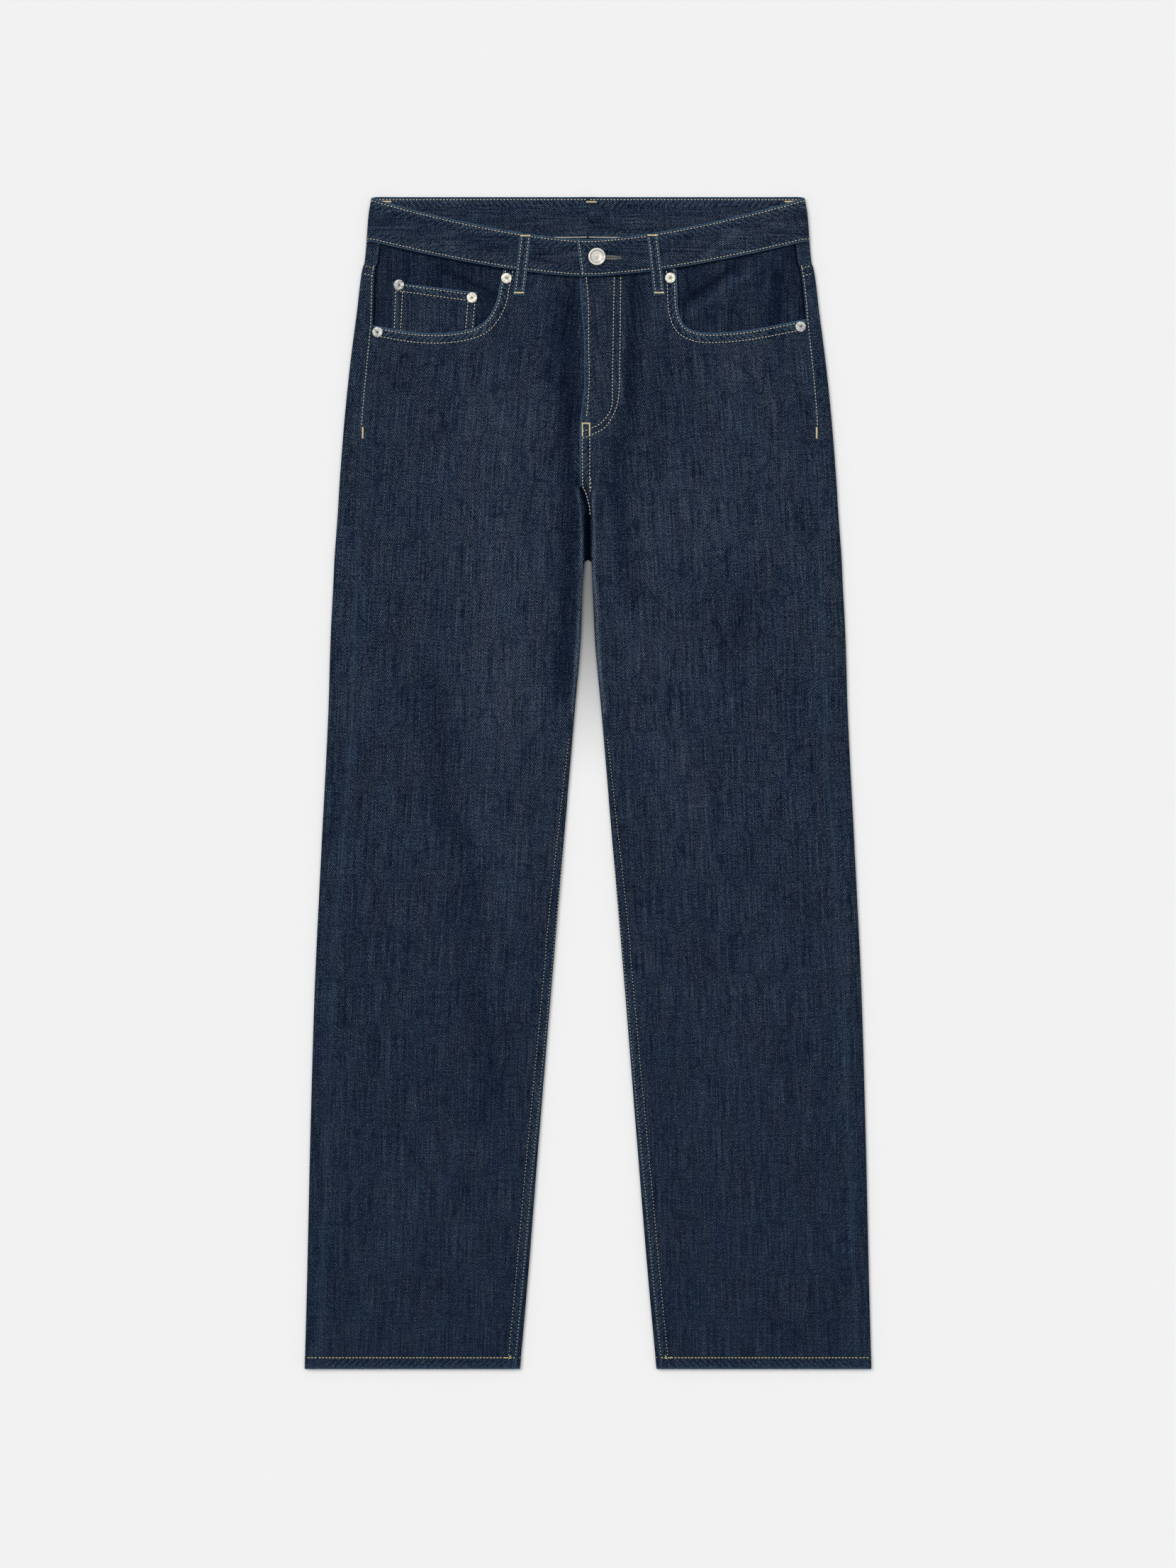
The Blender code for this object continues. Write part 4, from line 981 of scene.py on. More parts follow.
def material_of(name):
    """A material by name, made the first time that it is asked for."""
    if name in bpy.data.materials:
        return bpy.data.materials[name]
    user = sizes()
    makers = {
        "indigo_denim": lambda: denim(name),
        "waistband_denim": lambda: denim(name, tone=0.02, slubs=1.15),
        "facing_denim": lambda: denim(name, tone=-0.1, twill_share=0.85),
        "loop_denim": lambda: denim(name, tone=0.03, twill_share=0.9),
        "topstitch_thread": lambda: spun_thread(name, user.thread),
        "inseam_thread": lambda: spun_thread(name, (0.62, 0.57, 0.42)),
        "hem_thread": lambda: spun_thread(name, (0.80, 0.71, 0.36), 0.7),
        "bar_tack_thread": lambda: spun_thread(name, user.tack, 0.7),
        "buttonhole_thread": lambda: spun_thread(name, (0.20, 0.185, 0.16), 0.35),
        "rivet_nickel": lambda: metal(name, (0.52, 0.52, 0.50), (0.22, 0.22, 0.21), 0.4, 520.0, 0.5),
        "rivet_pale": lambda: metal(name, (0.80, 0.77, 0.68), (0.5, 0.47, 0.40), 0.45, 520.0, 0.45),
        # Painted shade: a near-black metal round a rivet's centre hole, and a darker metal on the side walls
        # of rivets and button
        "metal_recess": lambda: metal(name, (0.035, 0.033, 0.03), (0.012, 0.011, 0.01), 0.6, 700.0, 0.3),
        "metal_rim": lambda: metal(name, (0.24, 0.235, 0.22), (0.12, 0.115, 0.11), 0.45, 500.0, 0.5),
        "button_nickel": lambda: metal(name, (0.70, 0.68, 0.63), (0.56, 0.54, 0.50), 0.34, 200.0, 0.6),
        "button_hollow": lambda: metal(name, (0.56, 0.53, 0.48), (0.45, 0.42, 0.38), 0.4, 200.0, 0.6),
        "seam_groove": lambda: groove_shade_sheet(name),
    }
    return makers[name]()


# Fine relief of the cloth


wall_at = functools.lru_cache(maxsize=None)(Wall)


def ripple(place, seed):
    """An uneven wave of height about 1 along a seam."""
    return 0.62 * math.sin(place / 1.6 + 1.9 * math.sin(place / 17 + seed) + seed) + 0.38 * math.sin(
        place / 2.9 + 2.3 * seed
    )


def crease_height(creases, x, down):
    height = 0.0
    for crease in creases:
        first, last = crease.path[0].down, crease.path[-1].down
        if min(first, last) < down < max(first, last):
            path = crease.path if first < last else crease.path[::-1]
            near = (x - along(path, "x", down)) / crease.width
            if abs(near) < 4:
                fade = math.sin(math.pi * (down - path[0].down) / (path[-1].down - path[0].down)) ** 0.6
                height += crease.height * fade * math.exp(-near * near / 2)
    return height


@functools.lru_cache(maxsize=None)
def mouth_tree(side):
    """The points of a pocket mouth, to find the nearest one."""
    line = curve_through(MOUTH[side], 16)
    tree = KDTree(len(line))
    runs = []
    for k, spot in enumerate(line):
        runs.append(runs[-1] + math.dist(spot, line[k - 1]) if k else 0.0)
        tree.insert((spot.x, spot.down, 0.0), k)
    tree.balance()
    return tree, runs


def front_relief(side, x, down):
    """The front's level, with the puckers along its seams and its fine creases."""
    wall, seed = wall_at(side, down), SEEDS[side]
    height = front_raise(side, x, down) + crease_height(CREASES, SIDES[side] * x, down)
    from_side = wall.seam_x() - x
    if from_side < SEAM_ZONE:
        height += PUCKER_HEIGHT * ripple(down, seed) * bell(from_side, SEAM_REACH)
    if down > CROTCH_CLEAR and x - wall.inner < SEAM_ZONE:
        height += PUCKER_HEIGHT * ripple(down, seed + 2) * bell(x - wall.inner - 6, 8)
    if down < MOUTH_RAISE.down_to + 10 and 60 < x:
        tree, runs = mouth_tree(side)
        _, k, distance = tree.find((x, down, 0.0))
        height += 0.8 * PUCKER_HEIGHT * ripple(runs[k] + distance, seed + 3) * bell(distance, SEAM_REACH)
    from_hem = LENGTH - down
    if from_hem < HEM_ZONE:
        fade = 1.0 if from_hem < HEM_HEIGHT else bell(from_hem - HEM_HEIGHT, SEAM_REACH)
        slant = 2 * math.pi * (x + 0.8 * from_hem) / ROPING_STEP
        height += ROPING_HEIGHT * fade * math.sin(slant + ripple(x, seed))
    if side == "left" and down < 232 and x < 36:
        height += 0.5 * PUCKER_HEIGHT * ripple(down, 7.7) * bell(x - 27, 6)
    return height


def wrap_relief(side, x, down):
    """The part of the back that is seen from above, beside the side seam."""
    wall = wall_at(side, down)
    bent = clamp((x - wall.outer + wall.radius) / wall.middle)
    level = math.sqrt(max(0.0, 1 - bent * bent))
    return level * PUCKER_HEIGHT * ripple(down, SEEDS[side]) * bell(x - wall.seam_x(), SEAM_REACH)


def band_relief(side, x, down):
    """The waistband's level at the lap, with edges that roll down a little."""
    share = (down - band_top_front(x)) / (band_low_front(x) - band_top_front(x))
    edge = abs(2 * clamp(share) - 1) ** 5
    return band_raise(side, x) - BAND_EDGE_DROP * edge + 0.05 * ripple(x, 2.0 + share)


# Cloth pieces


def fine_rows(rows, cell):
    """These rows, with others put in so that none lie further apart than a cell."""
    fine = [float(rows[0])]
    for a, b in zip(rows, rows[1:]):
        steps = max(1, math.ceil(abs(b - a) / cell))
        fine += [mix(a, b, (k + 1) / steps) for k in range(steps)]
    return fine


def cell_mm():
    return sizes().cell / MM


def rim_of(shape):
    """The indices round a grid, from its first corner down its first column."""
    index = np.arange(shape[0] * shape[1]).reshape(shape)
    return np.concatenate([index[:, 0], index[-1, 1:], index[-2::-1, -1], index[0, -2:0:-1]])


def edge_marks(uv, wear):
    """Distance to the nearest edge of the piece, the run along that edge and its mark there: wear if
    positive, painted shade if negative.
    """
    rim = rim_of(uv.shape[:2])
    flat = uv.reshape(-1, 2) * 1000
    corners = np.append(rim, rim[0])
    places, runs, worn, run = [], [], [], 0.0
    for a, b in zip(corners, corners[1:]):
        length = float(np.hypot(*(flat[b] - flat[a])))
        steps = max(1, math.ceil(length / 0.6))
        for k in range(steps):
            places.append(flat[a] + (flat[b] - flat[a]) * k / steps)
            runs.append(run + length * k / steps)
            worn.append(wear(divmod(int(a), uv.shape[1]), uv.shape))
        run += length
    tree = KDTree(len(places))
    for k, place in enumerate(places):
        tree.insert((place[0], place[1], 0.0), k)
    tree.balance()
    found = [tree.find((u, v, 0.0)) for u, v in flat]
    return {
        "edge_distance": [f[2] for f in found],
        "edge_run": [runs[f[1]] for f in found],
        "edge_wear": [worn[f[1]] for f in found],
    }


def dye_tone(places):
    """Lighter and darker marks at points in metres: faded dye, and painted shade and painted highlights on
    folds, ridges and the slot between the thighs.
    """
    xs, downs = places[:, 0] / MM, LENGTH / 2 - places[:, 1] / MM
    total = np.zeros(len(xs))
    for tone in FADE_AND_PAINTED_SHADE_MARKS:
        first, last = tone.path[0].down, tone.path[-1].down
        grid = np.linspace(first, last, 60)
        middle = np.interp(downs, grid, [along(tone.path, "x", d) for d in grid])
        outside = np.maximum(np.maximum(first - downs, downs - last), 0) / (tone.width * 1.6)
        total += tone.amount * np.exp(-(((xs - middle) / tone.width) ** 2) / 2 - outside**2)
    return total


def lay_uv(mesh, name, uv):
    """A UV map that gives each point of the mesh one place."""
    loops = np.zeros(len(mesh.loops), np.int32)
    mesh.loops.foreach_get("vertex_index", loops)
    mesh.uv_layers.new(name=name).data.foreach_set("uv", uv[loops].ravel())


def linked(name, mesh):
    """A new object of this mesh in the scene, on the part's one body."""
    piece = bpy.data.objects.new(name, mesh)
    bpy.context.scene.collection.objects.link(piece)
    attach(piece, "root")
    return piece


def cloth_piece(name, node, skins, uv, material, wear, rests_on=()):
    """A thin closed shell between two grids of points. It stands for its node."""
    outer, inner = (np.array(skin, float) for skin in skins)
    uv = np.array(uv, float)
    rows, columns = outer.shape[:2]
    count = rows * columns
    index = np.arange(count).reshape(rows, columns)
    quads = np.stack([index[:-1, :-1], index[1:, :-1], index[1:, 1:], index[:-1, 1:]], -1).reshape(-1, 4)
    rim = rim_of((rows, columns))
    after = np.roll(rim, -1)
    walls = np.stack([after, rim, rim + count, after + count], -1)
    faces = np.concatenate([quads, quads[:, ::-1] + count, walls])
    points = np.concatenate([outer.reshape(-1, 3), inner.reshape(-1, 3)])
    corners = points[faces]
    halves = ((1, 2), (2, 3))
    if sum(np.vdot(corners[:, 0], np.cross(corners[:, a], corners[:, b])) for a, b in halves) < 0:
        faces = faces[:, ::-1]
    mesh = bpy.data.meshes.new(name)
    mesh.from_pydata(points.tolist(), [], faces.tolist())
    mesh.update()
    both = np.concatenate([uv.reshape(-1, 2)] * 2)
    lay_uv(mesh, "cloth", both)
    marks = {key: list(values) * 2 for key, values in edge_marks(uv, wear).items()}
    marks["dye_tone"] = dye_tone(points)
    marks["weave_contrast"] = np.interp(LENGTH / 2 - points[:, 1] / MM, *WEAVE_CONTRAST)
    for key, values in marks.items():
        mesh.attributes.new(key, "FLOAT", "POINT").data.foreach_set("value", np.array(values, np.float32))
    mesh.materials.append(material_of(material))
    mesh.shade_smooth()
    mesh.set_sharp_from_angle(angle=math.radians(50))
    piece = linked(name, mesh)
    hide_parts(node)
    middle = (outer + inner) / 2
    a, b = middle[1:, 1:] - middle[:-1, :-1], middle[1:, :-1] - middle[:-1, 1:]
    surface = float(np.linalg.norm(np.cross(a, b), axis=-1).sum() / 2)
    list(rests_on)
    return piece


def wall_piece(name, node, places, material, wear, raised=None, cloth=DENIM, turned=False, rests_on=()):
    """A fine cloth piece from rows of places on the flattened tube. Turned, its warp runs round the tube."""
    outer, inner, uv = [], [], []
    for row in places:
        added = [(wall, run, *hem_extra(wall, run)) for wall, run in row]
        outer.append([wall.point(run, cloth / 2 + out, raised) for wall, run, out, _ in added])
        inner.append([wall.point(run, -cloth / 2 - into, raised) for wall, run, _, into in added])
        flat = [(run * MM * SIDES[wall.side], -wall.down * MM) for wall, run in row]
        uv.append([(v, u) if turned else (-u, v) for u, v in flat])
    return cloth_piece(name, node, (outer, inner), uv, material, wear, rests_on)


def hem_extra(wall, run):
    """How much the turned-up hem adds to the cloth, outwards and inwards. The underside stays flat."""
    if wall.down < LENGTH - HEM_HEIGHT:
        return 0.0, 0.0
    top = clamp((wall.section(run, 0.0)[1] - wall.radius) / wall.middle)
    return HEM_EXTRA * top, HEM_EXTRA * (2 - top)


def share_across(side, x, down):
    """0 at the inner turn, 1 at the side seam."""
    wall = wall_at(side, down)
    return (x - wall.inner_x()) / (wall.seam_x() - wall.inner_x())


def front_fly_x(side, down):
    """Edge of a front at the fly, from the centre line towards its own side."""
    edge = along(FLY_EDGE, "x", down)
    under = mix(FLY_UNDERLAP, RISE_UNDERLAP, smooth_step((down - 190) / 60))
    return edge if side == "left" else -(edge + under)


BAND_PART = 0.32
FINE_MOUTH_COLUMNS = 52
FINE_BAND_COLUMNS = 24
FINE_INNER = 10
FINE_TOP_ROWS = 40


def front_tops(side):
    """For each column of a front from its inner turn outwards: its top, and its share lower down."""
    mouth = resampled(curve_through(MOUTH[side]), FINE_MOUTH_COLUMNS)
    start = gap_half(side, 0) + fold_radius(0)
    tops = []
    for k in range(FINE_BAND_COLUMNS):
        share = k / FINE_BAND_COLUMNS
        x = mix(start, mouth[0].x, share)
        tops.append((Spot(x, band_low_front(x) + SEAM_GAP), share * BAND_PART))
    for k, spot in enumerate(mouth):
        down = spot.down if k else band_low_front(spot.x) + SEAM_GAP
        x = wall_at(side, down).seam_x() if k == FINE_MOUTH_COLUMNS else spot.x
        tops.append((Spot(x, down), mix(BAND_PART, 1.0, k / FINE_MOUTH_COLUMNS)))
    return tops


def inner_runs(wall, end, steps):
    """Runs over the front, from just before its inner turn to this far past the turn's start."""
    start = min(0.0, end - TURN_LEAD)
    return [wall.turn_run + mix(start, end, j / steps) for j in range(steps + 1)]


def build_front(side):
    """A front, from the waistband and the pocket mouth to the hem, and from the fly or inseam to the side."""
    tops = front_tops(side)
    lower = fine_rows((*FRONT_ROWS, *LEG_ROWS), cell_mm())
    places = []
    for k in range(FINE_TOP_ROWS + len(lower)):
        def down_from(top):
            return mix(top, lower[0], k / FINE_TOP_ROWS) if k < FINE_TOP_ROWS else lower[k - FINE_TOP_ROWS]

        wall = wall_at(side, down_from(band_low_front(0) + SEAM_GAP))
        row = [(wall, run) for run in inner_runs(wall, wall.front_end, FINE_INNER)[:0:-1]]
        for top, share in tops:
            wall = wall_at(side, down_from(top.down))
            at_top = share_across(side, top.x, top.down)
            across = mix(at_top, share, smooth_step(k / FINE_TOP_ROWS))
            start = inner_runs(wall, wall.front_end, FINE_INNER)[0]
            row.append((wall, mix(start, wall.run_at(wall.seam_x()), across)))
        places.append(row)

    # Edge marks: positive values are wear; negative ones are painted shade, under the waistband and down into
    # the slot between the thighs
    def wear(at, shape):
        row, column = at
        if row == 0:
            return 0.9 if column > FINE_INNER + FINE_BAND_COLUMNS else -0.5
        if column == 0:
            down = lower[max(0, row - FINE_TOP_ROWS)]
            return 0.65 if down < SLOT_TOP else -0.35 if down < CROTCH_CLEAR else 0.25 if down < 700 else 0.5
        return 0.55 if row == shape[0] - 1 else 0.08 if row < FINE_TOP_ROWS + 40 else 0.22

    wall_piece("front_panel_" + side, "front_" + side, places, "indigo_denim", wear, front_relief,
               rests_on=("back_panel_" + side,))


def outer_runs(wall, over=2, fold=6):
    """Runs from the side seam over the outer fold to the flat of the back."""
    seam = wall.run_at(wall.seam_x()) - SEAM_GAP
    runs = [mix(seam, wall.quarter, j / over) for j in range(over)]
    return runs + [mix(wall.quarter, -wall.quarter, j / fold) for j in range(fold + 1)]


ON_FLOOR = ("floor",)
BACK_COLUMNS = (193, 189, 163, 137, 111, 85, 59, 33, 29)
FINE_OVER, FINE_FOLD = 6, 12


def build_back(side):
    """A back, from the yoke to the hem. It wraps over the outer fold, and the inner one lower down."""
    lower = fine_rows((*BACK_ROWS, *LEG_ROWS), 1.25 * cell_mm())
    flat = fine_rows(BACK_COLUMNS, 1.1 * cell_mm())
    top_rows = 10
    places = []
    for k in range(top_rows + len(lower)):
        fixed = lower[k - top_rows] if k >= top_rows else None
        reference = wall_at(side, fixed or YOKE_AT_SIDE)
        runs = outer_runs(reference, FINE_OVER, FINE_FOLD)
        row = []
        for j, x in enumerate([None] * len(runs) + flat):
            down = fixed
            if down is None:
                at = reference.section(runs[j], 0.0)[0] if x is None else x
                down = mix(yoke_low(at, x is None and runs[j] > 0) + SEAM_GAP, lower[0], k / top_rows)
            wall = wall_at(side, down)
            if x is None:
                row.append((wall, outer_runs(wall, FINE_OVER, FINE_FOLD)[j]))
                continue
            share = (j - len(runs) + 1) / (len(flat) + 1)
            level = mix(wall.outer - wall.radius, wall.inner_x(), share)
            at = mix(x, level, smooth_step((down - FLAT_FROM) / (SHARED_FROM - FLAT_FROM)))
            row.append((wall, -wall.run_at(at)))
        down = fixed or mix(YOKE_AT_CENTRE + SEAM_GAP, lower[0], k / top_rows)
        wall = wall_at(side, down)
        closed = SEAM_GAP / 2 - 0.01 if SLOT_TOP < wall.down < CROTCH_CLEAR else 0.0
        row += [(wall, -run) for run in inner_runs(wall, wall.back_end() + closed, 8)]
        places.append(row)

    # Edge marks: wear at the hem and the side; painted shade, near black, along the inner edge in the slot
    # between the thighs
    def wear(at, shape):
        if at[1] == shape[1] - 1 and at[0] >= top_rows and SLOT_TOP < lower[at[0] - top_rows] < CROTCH_CLEAR:
            return -1.0
        return 0.6 if at[0] == shape[0] - 1 else 0.15 if at[1] == 0 else 0.0

    wall_piece("back_panel_" + side, "back_" + side, places, "indigo_denim", wear, wrap_relief,
               rests_on=ON_FLOOR)


YOKE_COLUMNS = (197.4, 194.4, 181.6, 178.6, 150, 120, 90, 60, 30, 9.4, 6.4, SEAM_GAP / 2)


def build_yoke(side):
    """A yoke between the waistband and the back, from the side seam to the centre seam."""
    ends = [wall_at(side, band_low_front(BAND_HALF)), wall_at(side, YOKE_AT_SIDE)]
    fold = FINE_OVER + FINE_FOLD + 1
    columns = []
    for j in range(fold):
        at_top, at_low = (end.section(outer_runs(end, FINE_OVER, FINE_FOLD)[j], 0.0)[0] for end in ends)
        on_top = outer_runs(ends[1], FINE_OVER, FINE_FOLD)[j] > 0
        top = band_low_front(at_top) if j < FINE_OVER else band_low_round((j - FINE_OVER) / FINE_FOLD)
        columns.append((j, top, yoke_low(at_low, on_top)))
    columns += [(x, band_low_back(x), yoke_low(x, False)) for x in fine_rows(YOKE_COLUMNS, 1.1 * cell_mm())]
    places = []
    steps = 14
    for k in range(steps + 1):
        row = []
        for n, (column, top, low) in enumerate(columns):
            wall = wall_at(side, mix(top + SEAM_GAP, low, k / steps))
            run = outer_runs(wall, FINE_OVER, FINE_FOLD)[column] if n < fold else -wall.run_at(column)
            row.append((wall, run))
        places.append(row)

    # Edge marks: wear at the lower edge and the side; painted shade along the other edges, under the
    # waistband and at the centre seam
    def wear(at, shape):
        return 0.2 if at[0] == shape[0] - 1 or at[1] == 0 else -0.3

    wall_piece("yoke_panel_" + side, "yoke_" + side, places, "indigo_denim", wear, wrap_relief,
               rests_on=ON_FLOOR)


BAND_FRONT_COLUMNS = (BAND_HALF, 180, 158, 136, 114, 90, 68, 50, 38, 27)


def band_end_x(side, share):
    """End of a waistband half at the fly, this share of the way down it, towards its own side."""
    if side == "left":
        return mix(BAND_LAP_END_TOP, BAND_LAP_END_LOW, share)
    return -BAND_UNDERLAP_END


@functools.lru_cache(maxsize=None)
def band_wall(side, down):
    return Wall(side, down, BAND_WALL, fold_radius(0) + BAND_PROUD / 2)


def band_place(side, x, on_top, turn, share):
    """The wall and the run of a place on the waistband, this share of the way down it."""
    if turn is not None:
        top, low = mix(band_top_front(BAND_HALF), 0.0, turn), band_low_round(turn)
    elif on_top:
        top, low = band_top_front(x), band_low_front(x)
    else:
        top, low = 0.0, band_low_back(x)
    wall = band_wall(side, mix(top, low, share))
    if turn is not None:
        return wall, mix(wall.quarter, -wall.quarter, turn)
    run = wall.run_at(min(x, wall.outer - wall.radius - 1.0))
    return wall, run if on_top else -run


def band_wear(at, shape):
    """The waistband is rubbed along its top and its end at the fly, and not at the centre seam."""
    if at[1] == shape[1] - 1:
        return 0.0
    return 0.75 if at[0] == 0 or at[1] == 0 else 0.45


def build_waistband(side):
    """Half of the waistband, from its end at the fly round the side to the centre seam at the back."""
    rows, ends, fold = 14, 14, 14
    places = []
    for k in range(rows + 1):
        share = k / rows
        end = band_end_x(side, share)
        fronts = [mix(end, BAND_FRONT_COLUMNS[-1], j / ends) for j in range(ends)]
        fronts += fine_rows(BAND_FRONT_COLUMNS, cell_mm())[::-1]
        columns = [(x, True, None) for x in fronts] + [(None, True, j / fold) for j in range(fold + 1)]
        columns += [(x, False, None) for x in fine_rows(YOKE_COLUMNS, cell_mm())]
        places.append([band_place(side, *column, share) for column in columns])
    wall_piece("waistband_half_" + side, "waistband_" + side, places, "waistband_denim", band_wear,
               band_relief, BAND_WALL, turned=True, rests_on=ON_FLOOR)


def facing_depth(side, x, down):
    """How far the pocket facing lies below the outer face of the front."""
    from_band = (down - band_low_front(x)) / FACING_SLOPE_FROM_BAND
    from_seam = (wall_at(side, down).seam_x() - x) / FACING_SLOPE_FROM_SEAM
    return LAYER + mix(*FACING_DEPTH, smooth_step(min(from_band, from_seam)))


def facing_height(side, x, down):
    """Height of the facing's face, with the soft drapes that show in the pocket mouth."""
    return 2 * fold_radius(down) - facing_depth(side, x, down)


def facing_relief(side, x, down):
    from_band, from_seam = down - band_low_front(x), wall_at(side, down).seam_x() - x
    fade = smooth_step((from_band - 2) / 12) * smooth_step((from_seam - 2) / 10)
    return fade * 0.6 * crease_height(FACING_CREASES[side], x, down)


def level_piece(name, node, side, grid, height, thickness, material, wear, rests_on):
    """A fine sheet whose outer face has this height at each spot of a grid."""
    outer, inner, uv = [], [], []
    for row in grid:
        outer.append([metres(SIDES[side] * s.x, s.down, height(s.x, s.down)) for s in row])
        inner.append([(x, y, z - thickness * MM) for x, y, z in outer[-1]])
        uv.append([(s.x * MM * SIDES[side], -s.down * MM) for s in row])
    return cloth_piece(name, node, (outer, inner), uv, material, wear, rests_on)


def build_facing(side):
    """The denim that shows inside a pocket mouth. It runs on under the front."""
    columns, rows = 44, 26

    def lowest(x):
        corner = 1 - min(1.0, (x - FACING_INNER) / 30.0)
        return FACING_LOW - FACING_CORNER * corner**2

    grid = []
    for k in range(rows + 1):
        row = []
        for j in range(columns + 1):
            x = mix(FACING_INNER, wall_at(side, 90).seam_x(), j / columns)
            down = mix(band_low_front(x) + 2 * SEAM_GAP, lowest(x), k / rows)
            row.append(Spot(mix(FACING_INNER, wall_at(side, down).seam_x(), j / columns), down))
        grid.append(row)
    # All the facing's edges get a negative edge mark: painted shade where it lies under the front and the
    # waistband
    level_piece(
        "pocket_facing_" + side, "facing_" + side, side, grid,
        lambda x, down: facing_height(side, x, down) + facing_relief(side, x, down) - 0.1, DENIM - 0.2,
        "facing_denim", lambda at, shape: -0.5, ("back_panel_" + side,),
    )


def coin_height(x, down):
    """Height of the coin pocket's face. Its hemmed top is a little thicker."""
    a, b = COIN_POCKET[0], COIN_POCKET[1]
    top = mix(a.down, b.down, (a.x - x) / (a.x - b.x))
    hem = COIN_HEM_EXTRA * (1 - smooth_step((down - top - COIN_HEM_HEIGHT) / 2.0))
    return facing_height("right", x, down) + LAYER + hem


def build_coin_pocket():
    """The small pocket on the right facing. Its lower end is under the front."""
    a, b, c, d = COIN_POCKET
    rows, columns = 22, 28
    grid = []
    for k in range(rows + 1):
        start, end = mix_spots(a, d, k / rows), mix_spots(b, c, k / rows)
        grid.append([mix_spots(start, end, j / columns) for j in range(columns + 1)])
    level_piece("coin_pocket_patch", "coin_pocket", "right", grid, coin_height, DENIM, "indigo_denim",
                lambda at, shape: 0.85 if at[0] == 0 else 0.1, ("pocket_facing_right",))


def loop_grid(start, end, steps, columns=8):
    """A grid over a strip: its middle at each step, and its spots with their share of its half width."""
    length = math.dist(start, end)
    half = ((end.down - start.down) / length * LOOP_WIDTH / 2, (start.x - end.x) / length * LOOP_WIDTH / 2)
    shares = [2 * j / columns - 1 for j in range(columns + 1)]
    middles = [mix_spots(start, end, k / steps) for k in range(steps + 1)]
    return [(m, [(Spot(m.x + s * half[0], m.down + s * half[1]), s) for s in shares]) for m in middles]


def loop_wear(at, shape):
    return 0.8 if at[1] in (0, shape[1] - 1) else 0.5


def strip_piece(name, node, start, end, height, thickness, under=False, rests_on=ON_FLOOR):
    """A belt loop whose long edges are rolled in. height gives its middle's outer face."""
    outer, inner, uv = [], [], []
    steps = max(8, math.ceil(math.dist(start, end) / 1.6))
    for middle, row in loop_grid(start, end, steps):
        top = height(*middle)
        drops = [abs(share) ** 4 * LOOP_EDGE_DROP for _, share in row]
        tops = [top - (0.0 if under else drop) for drop in drops]
        lows = [top - thickness + (drop if under else 0.0) for drop in drops]
        outer.append([metres(*spot, z) for (spot, _), z in zip(row, tops)])
        inner.append([metres(*spot, z) for (spot, _), z in zip(row, lows)])
        uv.append([(share * LOOP_WIDTH / 2 * MM, -middle.down * MM) for _, share in row])
    return cloth_piece(name, node, (outer, inner), uv, "loop_denim", loop_wear, rests_on)


def front_loop_height(side):
    """Height of a front loop's face, from the waistband down to the front below it."""
    band_face = 2 * fold_radius(0) + BAND_PROUD

    def height(x, down):
        past = smooth_step((down - band_low_front(x) - 3.0) / 7.0)
        level = max(front_level(side, abs(x) + off, down) for off in (-LOOP_WIDTH / 2, LOOP_WIDTH / 2))
        return mix(band_face, level, past) + SEAM_GAP + LOOP_WALL

    return height


def back_loop_low(x):
    return band_low_back(abs(x)) + LOOP_BELOW_BAND


def build_loops():
    for side in SIDES:
        strip_piece("front_loop_" + side, "belt_loop_front_" + side, *FRONT_LOOPS[side],
                    front_loop_height(side), LOOP_WALL, rests_on=("waistband_half_" + side,))
    for name, node, x in BACK_LOOPS:
        ends = Spot(x, 0.6), Spot(x, back_loop_low(x))
        strip_piece(name, node, *ends, lambda x, down: BACK_LOOP_WALL, BACK_LOOP_WALL, under=True)


def pocket_grid(rows, columns):
    """A grid over a back pocket, with a column on its point."""
    a, b, c, point, d = BACK_POCKET
    grid = []
    for k in range(rows + 1):
        row = []
        for j in range(columns + 1):
            share = j / columns
            x = mix(d.x, c.x, share)
            if x <= point.x:
                low = mix(d.down, point.down, (x - d.x) / (point.x - d.x))
            else:
                low = mix(point.down, c.down, (x - point.x) / (c.x - point.x))
            row.append(mix_spots(mix_spots(a, b, share), Spot(x, low), k / rows))
        grid.append(row)
    return grid


def build_back_pocket(side):
    """A pointed patch pocket on the underside, as thick at its hemmed mouth as elsewhere."""
    level_piece("back_pocket_patch_" + side, "back_pocket_" + side, side, pocket_grid(48, 44),
                lambda x, down: DENIM, DENIM, "indigo_denim", lambda at, shape: 0.8, ON_FLOOR)


# Metal pieces


